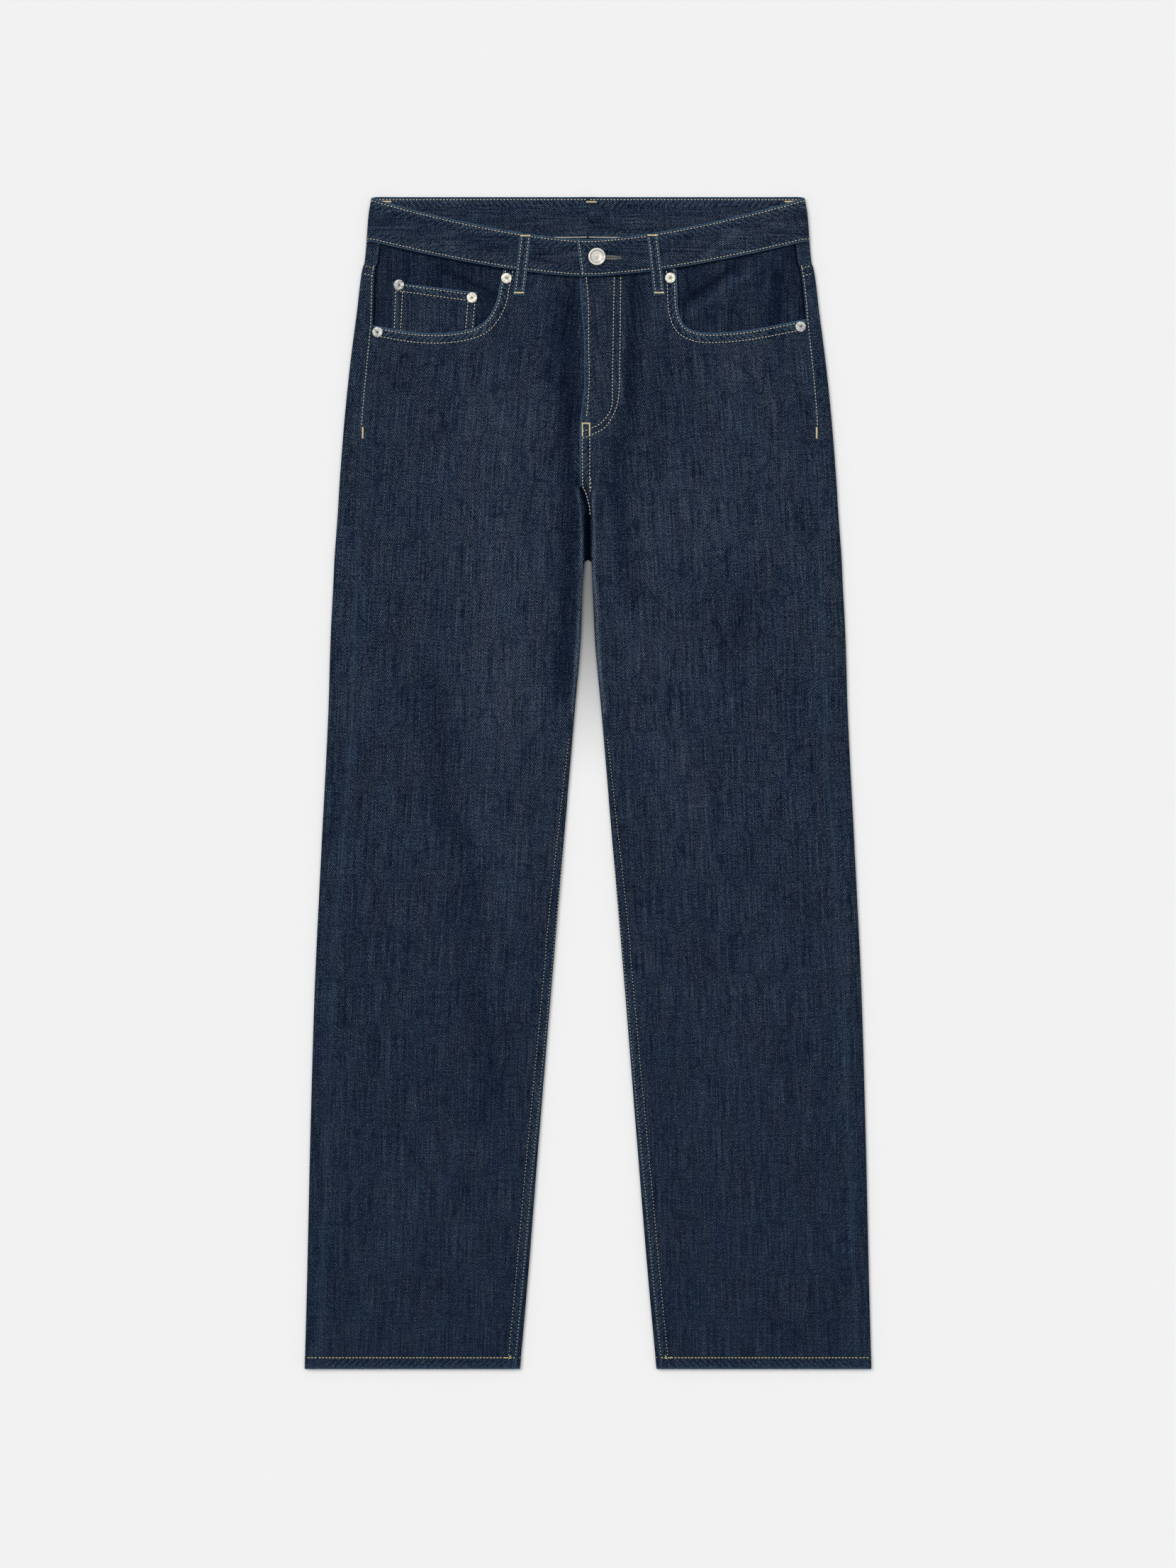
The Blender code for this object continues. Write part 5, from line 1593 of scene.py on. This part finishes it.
def turned_piece(name, node, spot, base, rings, material, zones):
    """A round piece: a filled circle drawn up ring by ring, as (radius, height) in millimetres."""
    bpy.ops.object.select_all(action="DESELECT")
    x, y = spot.x * MM, (LENGTH / 2 - spot.down) * MM
    bpy.ops.mesh.primitive_circle_add(
        vertices=TURNED_STEPS, radius=rings[0][0] * MM, fill_type="NGON", location=(x, y, base * MM)
    )
    piece = bpy.context.object
    bpy.ops.object.mode_set(mode="EDIT")
    bpy.ops.mesh.select_all(action="SELECT")
    for (radius, height), (wider, higher) in zip(rings, rings[1:]):
        bpy.ops.mesh.extrude_region_move(TRANSFORM_OT_translate={"value": (0, 0, (higher - height) * MM)})
        share = wider / radius
        bpy.ops.transform.resize(value=(share, share, 1.0), center_override=(x, y, (base + higher) * MM))
    bpy.ops.mesh.select_all(action="SELECT")
    bpy.ops.mesh.normals_make_consistent(inside=False)
    bpy.ops.object.mode_set(mode="OBJECT")
    bpy.ops.object.shade_smooth_by_angle(angle=math.radians(38))
    bpy.ops.object.transform_apply(location=True, rotation=True, scale=True)
    piece.name = piece.data.name = name
    piece.data.materials.clear()
    piece.data.materials.append(material_of(material))
    for low, high, other in zones:
        piece.data.materials.append(material_of(other))
        for face in piece.data.polygons:
            radius = math.dist((face.center.x, face.center.y), (x, y)) / MM
            if low < radius < high:
                face.material_index = len(piece.data.materials) - 1
    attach(piece, "root")
    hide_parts(node)
    return piece


def rivet_base(name, spot):
    """Height of a rivet's seat: the front, or the coin pocket below it."""
    side = "left" if spot.x > 0 else "right"
    if "coin" in name:
        return coin_height(abs(spot.x), spot.down) + RIVET_OFF_COIN_POCKET
    under = (-RIVET_RADIUS, 0, RIVET_RADIUS)
    return max(front_level(side, abs(spot.x) + off, spot.down) for off in under) + RIVET_OFF_CLOTH


RIVET_RINGS = (
    (4.7, 0.0), (4.9, 0.12), (4.9, 0.5), (4.78, 0.78), (4.5, 0.9), (3.6, 0.92), (2.6, 0.88), (2.1, 0.8),
    (1.85, 0.5), (1.3, 0.5), (1.2, 0.95), (1.0, 1.12), (0.72, 1.12), (0.5, 0.7), (0.3, 0.6),
)
# By radius: painted shade round a rivet's centre hole and on its side wall, and on the button's side wall
RIVET_ZONES = ((0.45, 0.95, "metal_recess"), (4.83, 9.0, "metal_rim"))
BUTTON_ZONES = ((0.0, 3.3, "button_hollow"), (4.6, 6.5, "button_hollow"), (8.0, 9.0, "metal_rim"))
RIVET_METALS = {"inner": "rivet_pale", "outer": "rivet_nickel"}
BUTTON_RINGS = (
    (7.3, 0.0), (7.7, 0.1), (8.1, 0.6), (8.2, 1.2), (8.12, 1.8), (7.8, 2.25), (7.3, 2.4), (6.75, 2.35),
    (6.3, 2.1), (5.7, 1.72), (5.2, 1.6), (4.6, 1.62), (4.4, 1.78), (4.1, 1.84), (3.8, 1.78), (3.4, 1.6),
    (2.2, 1.66), (0.8, 1.72),
)


# Sewing


def stitch_template():
    """One stitch, pointing along +X from 0 to 1 and 1 wide: its points, its faces and its UV."""
    sides, rings = 6, ((0.1, 0.72, 0.12), (0.5, 1.0, 0.5), (0.9, 0.72, 0.12))
    points, uv = [(0.0, 0.0, -0.35)], [(0.0, 0.5)]
    for s, width, up in rings:
        for k in range(sides):
            angle = 2 * math.pi * k / sides
            points.append((s, 0.5 * width * math.cos(angle), up * 0.55 + 0.42 * width * math.sin(angle)))
            uv.append((s, k / sides))
    points.append((1.0, 0.0, -0.35))
    uv.append((1.0, 0.5))
    last = len(points) - 1
    faces = []
    for k in range(sides):
        after = (k + 1) % sides
        faces.append((0, 1 + after, 1 + k))
        for ring in range(len(rings) - 1):
            a, b = 1 + ring * sides, 1 + (ring + 1) * sides
            faces += [(a + k, a + after, b + after), (a + k, b + after, b + k)]
        faces.append((last, last - sides + k, last - sides + after))
    return np.array(points), np.array(faces), np.array(uv)


def resampled_row(places, pitch, length):
    """Starts, ends and upward directions of the stitches along a row of (point, up)."""
    points = np.array([p for p, _ in places])
    ups = np.array([u for _, u in places])
    runs = np.concatenate([[0.0], np.cumsum(np.linalg.norm(np.diff(points, axis=0), axis=1))])
    count = max(1, int(runs[-1] / pitch))
    starts = np.arange(count) * runs[-1] / count
    wander = np.random.default_rng(int(runs[-1] * 1e6) % 100000)
    ends = starts + length * wander.uniform(0.93, 1.05, count)

    def at(where, values):
        return np.stack([np.interp(where, runs, values[:, k]) for k in range(3)], -1)

    return at(starts, points), at(ends, points), at((starts + ends) / 2, ups)


def sewn(name, rows, material="topstitch_thread", pitch=None, length=None, width=None, groove=True):
    """One mesh of stitches: each row is a list of (point, up), in metres."""
    user = sizes()
    pitch, length = pitch or user.stitch_pitch, length or user.stitch_length
    width = width or user.thread_width
    base, faces, uv = stitch_template()
    reached = min(length, 0.97 * pitch) if pitch > length else length
    parts = [resampled_row(row, pitch, reached) for row in rows]
    starts, ends, ups = (np.concatenate([part[k] for part in parts]) for k in range(3))
    run = ends - starts
    along_run = np.einsum("ij,ij->i", ups, run) / np.maximum(np.einsum("ij,ij->i", run, run), 1e-18)
    ups = ups - run * along_run[:, None]
    ups /= np.linalg.norm(ups, axis=1)[:, None]
    side = np.cross(ups, run)
    side /= np.linalg.norm(side, axis=1)[:, None]
    points = (
        starts[:, None, :] + base[None, :, 0, None] * run[:, None, :]
        + base[None, :, 1, None] * side[:, None, :] * width + base[None, :, 2, None] * ups[:, None, :] * width
    ).reshape(-1, 3)
    all_faces = (faces[None] + (np.arange(len(starts)) * len(base))[:, None, None]).reshape(-1, 3)
    uv = np.tile(uv, (len(starts), 1))
    slots = np.zeros(len(all_faces), np.int32)
    # Under each stitch, a dark quad is painted shade in the groove that the stitch draws
    if groove:
        reach = run * (0.5 * pitch / np.linalg.norm(run, axis=1))[:, None]
        middle = (starts + ends) / 2 + ups * GROOVE_LIFT
        corners = [middle + a * reach + b * side * width for a, b in ((-1, -1), (1, -1), (1, 1), (-1, 1))]
        quads = len(points) + np.arange(len(starts))[:, None] * 4 + np.arange(4)
        points = np.concatenate([points, np.stack(corners, 1).reshape(-1, 3)])
        all_faces = np.concatenate([all_faces, quads[:, :3], quads[:, [0, 2, 3]]])
        uv = np.concatenate([uv, np.zeros((4 * len(starts), 2))])
        slots = np.concatenate([slots, np.ones(2 * len(starts), np.int32)])
    mesh = bpy.data.meshes.new(name)
    mesh.from_pydata(points.tolist(), [], all_faces.tolist())
    mesh.update()
    lay_uv(mesh, "thread", uv)
    mesh.materials.append(material_of(material))
    if groove:
        mesh.materials.append(material_of("seam_groove"))
        mesh.polygons.foreach_set("material_index", slots)
    mesh.shade_smooth()
    return linked(name, mesh)


def place_on(wall, run, out, raised):
    """A point on the cloth's face and the direction out of it. A negative out is the inner face."""
    low, high = wall.point(run, out, raised), wall.point(run, out + (1.0 if out > 0 else -1.0), raised)
    up = np.array(high) - np.array(low)
    return np.array(low), up / np.linalg.norm(up)


def on_front(side, spots, smooth=True):
    """A row over a front, through these spots in the side's own x."""
    line = curve_through(spots, 10) if smooth and len(spots) > 2 else fine_line(spots)
    row = []
    for spot in line:
        wall = wall_at(side, spot.down)
        extra = HEM_EXTRA if spot.down > LENGTH - HEM_HEIGHT else 0.0
        row.append(place_on(wall, wall.run_at(spot.x), DENIM / 2 + extra, front_relief))
    return row


def fine_line(spots, step=2.0):
    line = [spots[0]]
    for a, b in zip(spots, spots[1:]):
        steps = max(1, math.ceil(math.dist(a, b) / step))
        line += [mix_spots(a, b, (k + 1) / steps) for k in range(steps)]
    return line


def by_run(side, downs, run_of, out=DENIM / 2, raised=None):
    """A row down a piece, whose run is found at each row."""
    row = []
    for down in downs:
        wall = wall_at(side, down)
        row.append(place_on(wall, run_of(wall), out, raised))
    return row


def across_runs(side, down, first, last, out, raised=None, step=2.0):
    """A row across a piece at one distance down."""
    wall = wall_at(side, down)
    count = max(2, math.ceil(abs(last - first) / step))
    return [place_on(wall, mix(first, last, k / count), out, raised) for k in range(count + 1)]


def on_level(side, spots, height, up=1.0):
    """A row over a flat sheet of this height."""
    return [
        (np.array(metres(SIDES[side] * s.x, s.down, height(s.x, s.down))), np.array((0, 0, up)))
        for s in fine_line(spots)
    ]


def offset_line(line, distance):
    """The line moved sideways, away from a pocket opening if positive."""
    moved = []
    for k, spot in enumerate(line):
        a, b = line[max(0, k - 1)], line[min(len(line) - 1, k + 1)]
        length = math.dist(a, b) or 1.0
        across, on = distance * (b.down - a.down) / length, distance * (b.x - a.x) / length
        moved.append(Spot(spot.x - across, spot.down + on))
    return moved


def span(first, last, step=4.0):
    count = max(2, math.ceil(abs(last - first) / step))
    return [mix(first, last, k / count) for k in range(count + 1)]


def hem_rows(side, front):
    down = LENGTH - HEM_ROW
    wall = wall_at(side, down)
    out = DENIM / 2 + 0.5 * HEM_EXTRA
    end = wall.turn_run + wall.front_end
    if front:
        start = wall.run_at(wall.seam_x()) + 0.6
        return [across_runs(side, down, start, end - 0.6, DENIM / 2 + HEM_EXTRA, front_relief)]
    far = wall.turn_run + wall.back_end()
    return [across_runs(side, down, wall.run_at(wall.seam_x()) - 1.0, -far + 0.5, out)]


def second_inseam_run(wall):
    """The inseam's inner row, which comes up from under the leg above the knee."""
    if wall.down > INSEAM_TURNS_UP[-1].down:
        return wall.turn_run + wall.front_end - INSEAM_ROWS[1]
    inside = along(INSEAM_TURNS_UP, "wrap", wall.down)
    if inside < wall.radius:
        return wall.turn_run + wall.middle * math.asin(1 - inside / wall.radius)
    return wall.run_at(wall.inner + inside)


def front_edge_row(side, downs, inset):
    """A row this far inside the front's edge at the fly or the inseam."""
    return by_run(side, downs, lambda w: w.turn_run + w.front_end - inset, DENIM / 2, front_relief)


def sew_front(side):
    rows, user = [], sizes()
    mouth = curve_through(MOUTH[side], 10)
    for distance in (EDGE_ROW, EDGE_ROW + DOUBLE_GAUGE):
        line = [
            s for s in offset_line(mouth, distance)
            if s.down > band_low_front(s.x) + 1.0 and s.x < wall_at(side, s.down).seam_x() - 0.5
        ]
        rows.append(on_front(side, line, smooth=False))
    ends = [on_front(side, spots, smooth=False) for spots in HEM_RESTITCH]
    sewn("topstitching_hem_front_" + side, hem_rows(side, True) + ends, "hem_thread", **HEM_STITCH)
    inseam = [
        front_edge_row(side, span(560, LENGTH - 2.0), INSEAM_ROWS[0]),
        by_run(side, span(505, LENGTH - 2.0), second_inseam_run, DENIM / 2, front_relief),
    ]
    sewn("topstitching_inseam_" + side, inseam, "inseam_thread", length=0.00165, width=0.00064)
    if side == "left":
        rows += [on_front(side, spots) for spots in FLY_ROWS]
        rows.append(front_edge_row(side, span(226, 297, 2.0), 2.4))
    sewn("topstitching_front_" + side, rows, width=user.front_thread_width)


def sew_coin_pocket():
    rows = [on_level("right", spots, coin_height) for spots in COIN_ROWS]
    sewn("topstitching_coin_pocket", rows, width=sizes().front_thread_width)


def sew_waistband(side):
    """Both edges of the waistband all round, its end at the fly, and the same seams inside the back."""
    rows, inside = [], []
    for from_low in (False, True):
        row, within = [], []
        start = band_end_x(side, 0.5) + 2.0
        marks = [(x, True, None) for x in span(start, BAND_HALF)]
        marks += [(None, True, turn) for turn in span(0.05, 0.95, 0.1)]
        marks += [(x, False, None) for x in span(BAND_HALF - 1, 0.8)]
        for x, on_top, turn in marks:
            share = (1 - EDGE_ROW / 36) if from_low else EDGE_ROW / 36
            wall, run = band_place(side, x, on_top, turn, share)
            row.append(place_on(wall, run, BAND_WALL / 2, band_relief))
            if not on_top:
                wall, run = band_place(side, x, on_top, turn, CHAIN_STITCH_SHARE if from_low else share)
                within.append(place_on(wall, run, -BAND_WALL / 2, band_relief))
        rows.append(row)
        inside.append(within)
    if side == "left":
        row = []
        for share in span(0.04, 0.96, 0.08):
            wall, run = band_place(side, band_end_x(side, share) + 2.0, True, None, share)
            row.append(place_on(wall, run, BAND_WALL / 2, band_relief))
        rows.append(row)
    sewn("topstitching_waistband_" + side, rows + inside[:1], width=sizes().front_thread_width)
    sewn("chain_stitch_waistband_" + side, inside[1:], pitch=0.0021, length=0.0026, width=0.0009)


def sew_back(side):
    rows = []
    for below in YOKE_ROWS_BELOW:
        row = []
        reference = wall_at(side, YOKE_AT_SIDE)
        for run in span(reference.run_at(reference.seam_x()) - 1.2, -reference.run_at(2.0), 3.0):
            at = reference.section(run, 0.0)[0]
            wall = wall_at(side, yoke_low(at, run > 0) + below)
            row.append(place_on(wall, run, DENIM / 2, wrap_relief))
        rows.append(row)
    beside_seam = SEAM_GAP + 1.9
    rows.append(by_run(side, span(64, 214), lambda w: w.run_at(w.seam_x()) - beside_seam, raised=wrap_relief))
    if side == "left":
        for inset in SEAT_ROWS:
            rows.append(by_run(side, span(99, CROTCH_EDGE - 2), lambda w: -w.run_at(inset)))
    sewn("topstitching_hem_back_" + side, hem_rows(side, False), "hem_thread", **HEM_STITCH)
    sewn("topstitching_back_" + side, rows)
    a, b, c, point, d = BACK_POCKET
    outline = [a, d, point, c, b]
    pocket = []
    for inset in POCKET_ROWS:
        line = inset_outline(outline, inset)
        pocket.append(on_level(side, line, lambda x, down: 0.0, -1.0))
    for down in (2.0, 13.0):
        mouth = (Spot(a.x + 1, a.down + down), Spot(b.x - 1, b.down + down))
        pocket.append(on_level(side, mouth, lambda x, down: 0.0, -1.0))
    sewn("topstitching_back_pocket_" + side, pocket)


def inset_outline(outline, inset):
    """An open outline moved this far towards its inside, corner by corner."""
    middle = Spot(sum(s.x for s in outline) / len(outline), sum(s.down for s in outline) / len(outline))
    moved = []
    for a, b in zip(outline, outline[1:]):
        length = math.dist(a, b)
        n = ((b.down - a.down) / length, (a.x - b.x) / length)
        if (middle.x - a.x) * n[0] + (middle.down - a.down) * n[1] < 0:
            n = (-n[0], -n[1])
        moved.append([Spot(s.x + n[0] * inset, s.down + n[1] * inset) for s in (a, b)])
    line = [moved[0][0]]
    for (p, q), (r, s) in zip(moved, moved[1:]):
        d1, d2 = (q.x - p.x, q.down - p.down), (s.x - r.x, s.down - r.down)
        cross = d1[0] * d2[1] - d1[1] * d2[0]
        t = ((r.x - p.x) * d2[1] - (r.down - p.down) * d2[0]) / cross
        line.append(Spot(p.x + d1[0] * t, p.down + d1[1] * t))
    return [*line, moved[-1][1]]


def tack_rows(centre, length, width, surface, vertical=False):
    """A bar tack: close threads across a short line on a surface."""
    count = max(4, int(length / 0.55))
    rows = []
    for k in range(count):
        at = mix(-length / 2, length / 2, k / (count - 1))
        offsets = ((at, -width / 2), (at + TACK_SLANT, width / 2))
        if vertical:
            offsets = [off[::-1] for off in offsets]
        rows.append([surface(Spot(centre.x + across, centre.down + down)) for across, down in offsets])
    return rows


def front_face(side):
    def surface(spot):
        wall = wall_at(side, spot.down)
        return place_on(wall, wall.run_at(spot.x), DENIM / 2, front_relief)

    return surface


def loop_face(side):
    height = front_loop_height(side)

    def surface(spot):
        x = SIDES[side] * spot.x
        return np.array(metres(x, spot.down, height(x, spot.down))), np.array((0, 0, 1.0))

    return surface


def band_inside(side):
    def surface(spot):
        wall = band_wall(side, spot.down)
        return place_on(wall, -wall.run_at(spot.x), -BAND_WALL / 2, band_relief)

    return surface


def underside(spot):
    return np.array(metres(*spot, 0.0)), np.array((0, 0, -1.0))


def sew_tacks():
    rows = []
    for side in SIDES:
        start, end = FRONT_LOOPS[side]
        for down in (start.down + 2.2, end.down - 2.6):
            x = abs(mix(start.x, end.x, (down - start.down) / (end.down - start.down)))
            rows += tack_rows(Spot(x, down), *LOOP_TACK, loop_face(side))
        seam = wall_at(side, SIDE_TACK_DOWN).seam_x() + 0.8
        rows += tack_rows(Spot(seam, SIDE_TACK_DOWN), 10.0, 1.8, front_face(side), vertical=True)
    rows += tack_rows(Spot(-2.0, 211.4), 7.6, 1.8, front_face("left"))
    for x in (-5.2, 1.5):
        rows += tack_rows(Spot(x, 217.6), 11.0, 1.5, front_face("left"), vertical=True)
    for side, x, down in (("right", SIDE_LOOP_X, 4.4), ("left", SIDE_LOOP_X, 4.4), ("left", 3.0, 4.6)):
        rows += tack_rows(Spot(x, down), 9.0, 1.8, band_inside(side))
    sewn("bar_tacks", rows, "bar_tack_thread", **TACK_STITCH)
    under = []
    for x in sorted(loop[-1] for loop in BACK_LOOPS):
        for down in (2.4, back_loop_low(x) - 2.4):
            under += tack_rows(Spot(x, down), *LOOP_TACK, underside)
    sewn("bar_tacks_back_loops", under, "bar_tack_thread", **TACK_STITCH)


def sew_loops():
    rows = []
    for side in SIDES:
        start, end = (Spot(abs(s.x), s.down) for s in FRONT_LOOPS[side])
        height = front_loop_height(side)
        for inset in LOOP_ROWS:
            row = []
            for s in fine_line((Spot(start.x + inset, start.down + 1), Spot(end.x + inset, end.down - 1))):
                middle = mix(start.x, end.x, (s.down - start.down) / (end.down - start.down))
                level = height(middle * SIDES[side], s.down) - 0.03
                row.append((np.array(metres(SIDES[side] * s.x, s.down, level)), np.array((0, 0, 1.0))))
            rows.append(row)
    for x in sorted(loop[-1] for loop in BACK_LOOPS):
        for inset in LOOP_ROWS:
            line = (Spot(x + inset, 1.6), Spot(x + inset, back_loop_low(x) - 1))
            rows.append(on_level("left", line, lambda x, down: 0.03, -1.0))
    sewn("topstitching_loops", rows)


def sew_buttonhole():
    """The worked buttonhole beside the button: close threads on both sides of its slit."""
    start, end = BUTTONHOLE
    rows = []
    last = 45
    for k in range(last + 1):
        share = k / last
        x, down = mix_spots(start, end, share)
        reach = 2.5 * (1 - 0.6 * smooth_step((share - 0.45) / 0.55))
        for way in (-1, 1):
            places = []
            for off in (0.15, reach):
                wall = band_wall("left", down + way * off)
                places.append(place_on(wall, wall.run_at(x), BAND_WALL / 2, band_relief))
            rows.append(places)
    sewn("buttonhole_stitching", rows, "buttonhole_thread", **BUTTONHOLE_STITCH)


# Operators


class JEANS_OT_fronts(bpy.types.Operator):
    """Make the two fronts, draped and puckered along their seams"""

    bl_idname = "jeans.fronts"
    bl_label = "Fronts"

    def execute(self, context):
        for side in SIDES:
            build_front(side)
        return {"FINISHED"}


class JEANS_OT_backs(bpy.types.Operator):
    """Make the two backs with their yokes and patch pockets"""

    bl_idname = "jeans.backs"
    bl_label = "Backs, yokes and back pockets"

    def execute(self, context):
        for side in SIDES:
            build_back(side)
            build_yoke(side)
            build_back_pocket(side)
        return {"FINISHED"}


class JEANS_OT_pockets(bpy.types.Operator):
    """Make the denim seen inside the pocket mouths, and the coin pocket"""

    bl_idname = "jeans.pockets"
    bl_label = "Pocket facings and coin pocket"

    def execute(self, context):
        for side in SIDES:
            build_facing(side)
        build_coin_pocket()
        return {"FINISHED"}


class JEANS_OT_waistband(bpy.types.Operator):
    """Make both halves of the waistband and the five belt loops"""

    bl_idname = "jeans.waistband"
    bl_label = "Waistband and belt loops"

    def execute(self, context):
        for side in SIDES:
            build_waistband(side)
        build_loops()
        return {"FINISHED"}


class JEANS_OT_metal(bpy.types.Operator):
    """Make the six rivets and the waist button"""

    bl_idname = "jeans.metal"
    bl_label = "Rivets and button"

    def execute(self, context):
        for name, spot in RIVETS.items():
            turned_piece(name.replace("rivet", "rivet_cap"), name, spot, rivet_base(name, spot), RIVET_RINGS,
                         RIVET_METALS[name.rpartition("_")[2]], RIVET_ZONES)
        band_face = 2 * fold_radius(0) + BAND_PROUD + band_raise("left", BUTTON.x)
        turned_piece("shank_button", "waist_button", BUTTON, band_face + SEAM_GAP, BUTTON_RINGS,
                     "button_nickel", BUTTON_ZONES)
        return {"FINISHED"}


class JEANS_OT_sewing(bpy.types.Operator):
    """Sew the topstitching, the bar tacks, the inside seam of the waistband and the buttonhole"""

    bl_idname = "jeans.sewing"
    bl_label = "Sewing"

    def execute(self, context):
        for side in SIDES:
            sew_front(side)
            sew_back(side)
            sew_waistband(side)
        sew_coin_pocket()
        sew_loops()
        sew_tacks()
        sew_buttonhole()
        return {"FINISHED"}


# Each lamp: its name, the direction that it stands in and its share of the light
LAMPS = (("soft_lamp_left", (-0.5, 0.4, 1.2), 0.7), ("soft_lamp_right", (0.3, 0.1, 1.0), 0.3))
LAMP_SPREAD = math.radians(36)
WORLD_LIGHT = 0.30
CAMERA_AT = (0.0, -0.0011, 4.0617)
CAMERA_LENS = 100.0
THIGH_SHADE = 0.78


class JEANS_OT_stage(bpy.types.Operator):
    """Set up the pale floor, the soft lamps and the camera above the jeans"""

    bl_idname = "jeans.stage"
    bl_label = "Floor, light and camera"

    def execute(self, context):
        scene = context.scene
        bpy.ops.object.select_all(action="DESELECT")
        bpy.ops.mesh.primitive_plane_add(size=40.0, location=(0, 0, -0.0006))
        floor = context.object
        floor.name = "floor"
        floor.data.materials.append(floor_paper())
        floor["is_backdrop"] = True
        for name, towards, share in LAMPS:
            lamp = bpy.data.objects.new(name, bpy.data.lights.new(name, "SUN"))
            lamp.data.energy = sizes().light * share
            lamp.data.angle = LAMP_SPREAD
            lamp.rotation_euler = Vector(towards).to_track_quat("Z", "Y").to_euler()
            scene.collection.objects.link(lamp)
        world = bpy.data.worlds.new("soft_room")
        world.use_nodes = True
        room = world.node_tree.nodes["Background"].inputs
        room["Color"].default_value, room["Strength"].default_value = (1.0, 1.0, 1.0, 1.0), WORLD_LIGHT
        scene.world = world
        scene.view_settings.view_transform = "Standard"
        camera = bpy.data.objects.new("camera_above", bpy.data.cameras.new("camera_above"))
        camera.data.lens, camera.data.sensor_width = CAMERA_LENS, 36.0
        camera.location = CAMERA_AT
        scene.collection.objects.link(camera)
        scene.camera = camera
        return {"FINISHED"}


STEPS = (
    JEANS_OT_stage, JEANS_OT_fronts, JEANS_OT_backs, JEANS_OT_pockets, JEANS_OT_waistband, JEANS_OT_metal,
    JEANS_OT_sewing,
)


class JEANS_PT_panel(bpy.types.Panel):
    """Lists the settings and the steps in the order that they are run"""

    bl_label = "Laid-out jeans"
    bl_space_type = "VIEW_3D"
    bl_region_type = "UI"
    bl_category = "Jeans"

    def draw(self, context):
        for key in JeansSettings.__annotations__:
            self.layout.prop(context.scene.jeans, key)
        for step in STEPS:
            self.layout.operator(step.bl_idname)


CLASSES = (JeansSettings, *STEPS, JEANS_PT_panel)


def register():
    for kind in CLASSES:
        bpy.utils.register_class(kind)
    bpy.types.Scene.jeans = PointerProperty(type=JeansSettings)


def unregister():
    del bpy.types.Scene.jeans
    for kind in reversed(CLASSES):
        bpy.utils.unregister_class(kind)


def main():
    register()
    twill_group()
    seam_wear_and_shade_group()
    for step in STEPS:
        group, name = step.bl_idname.split(".")
        getattr(getattr(bpy.ops, group), name)()
    boxes = {"cad": CAD_BOX, "visual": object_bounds()}
    {key: [[float(c) for c in corner] for corner in box] for key, box in boxes.items()}


if __name__ == "__main__":
    main()
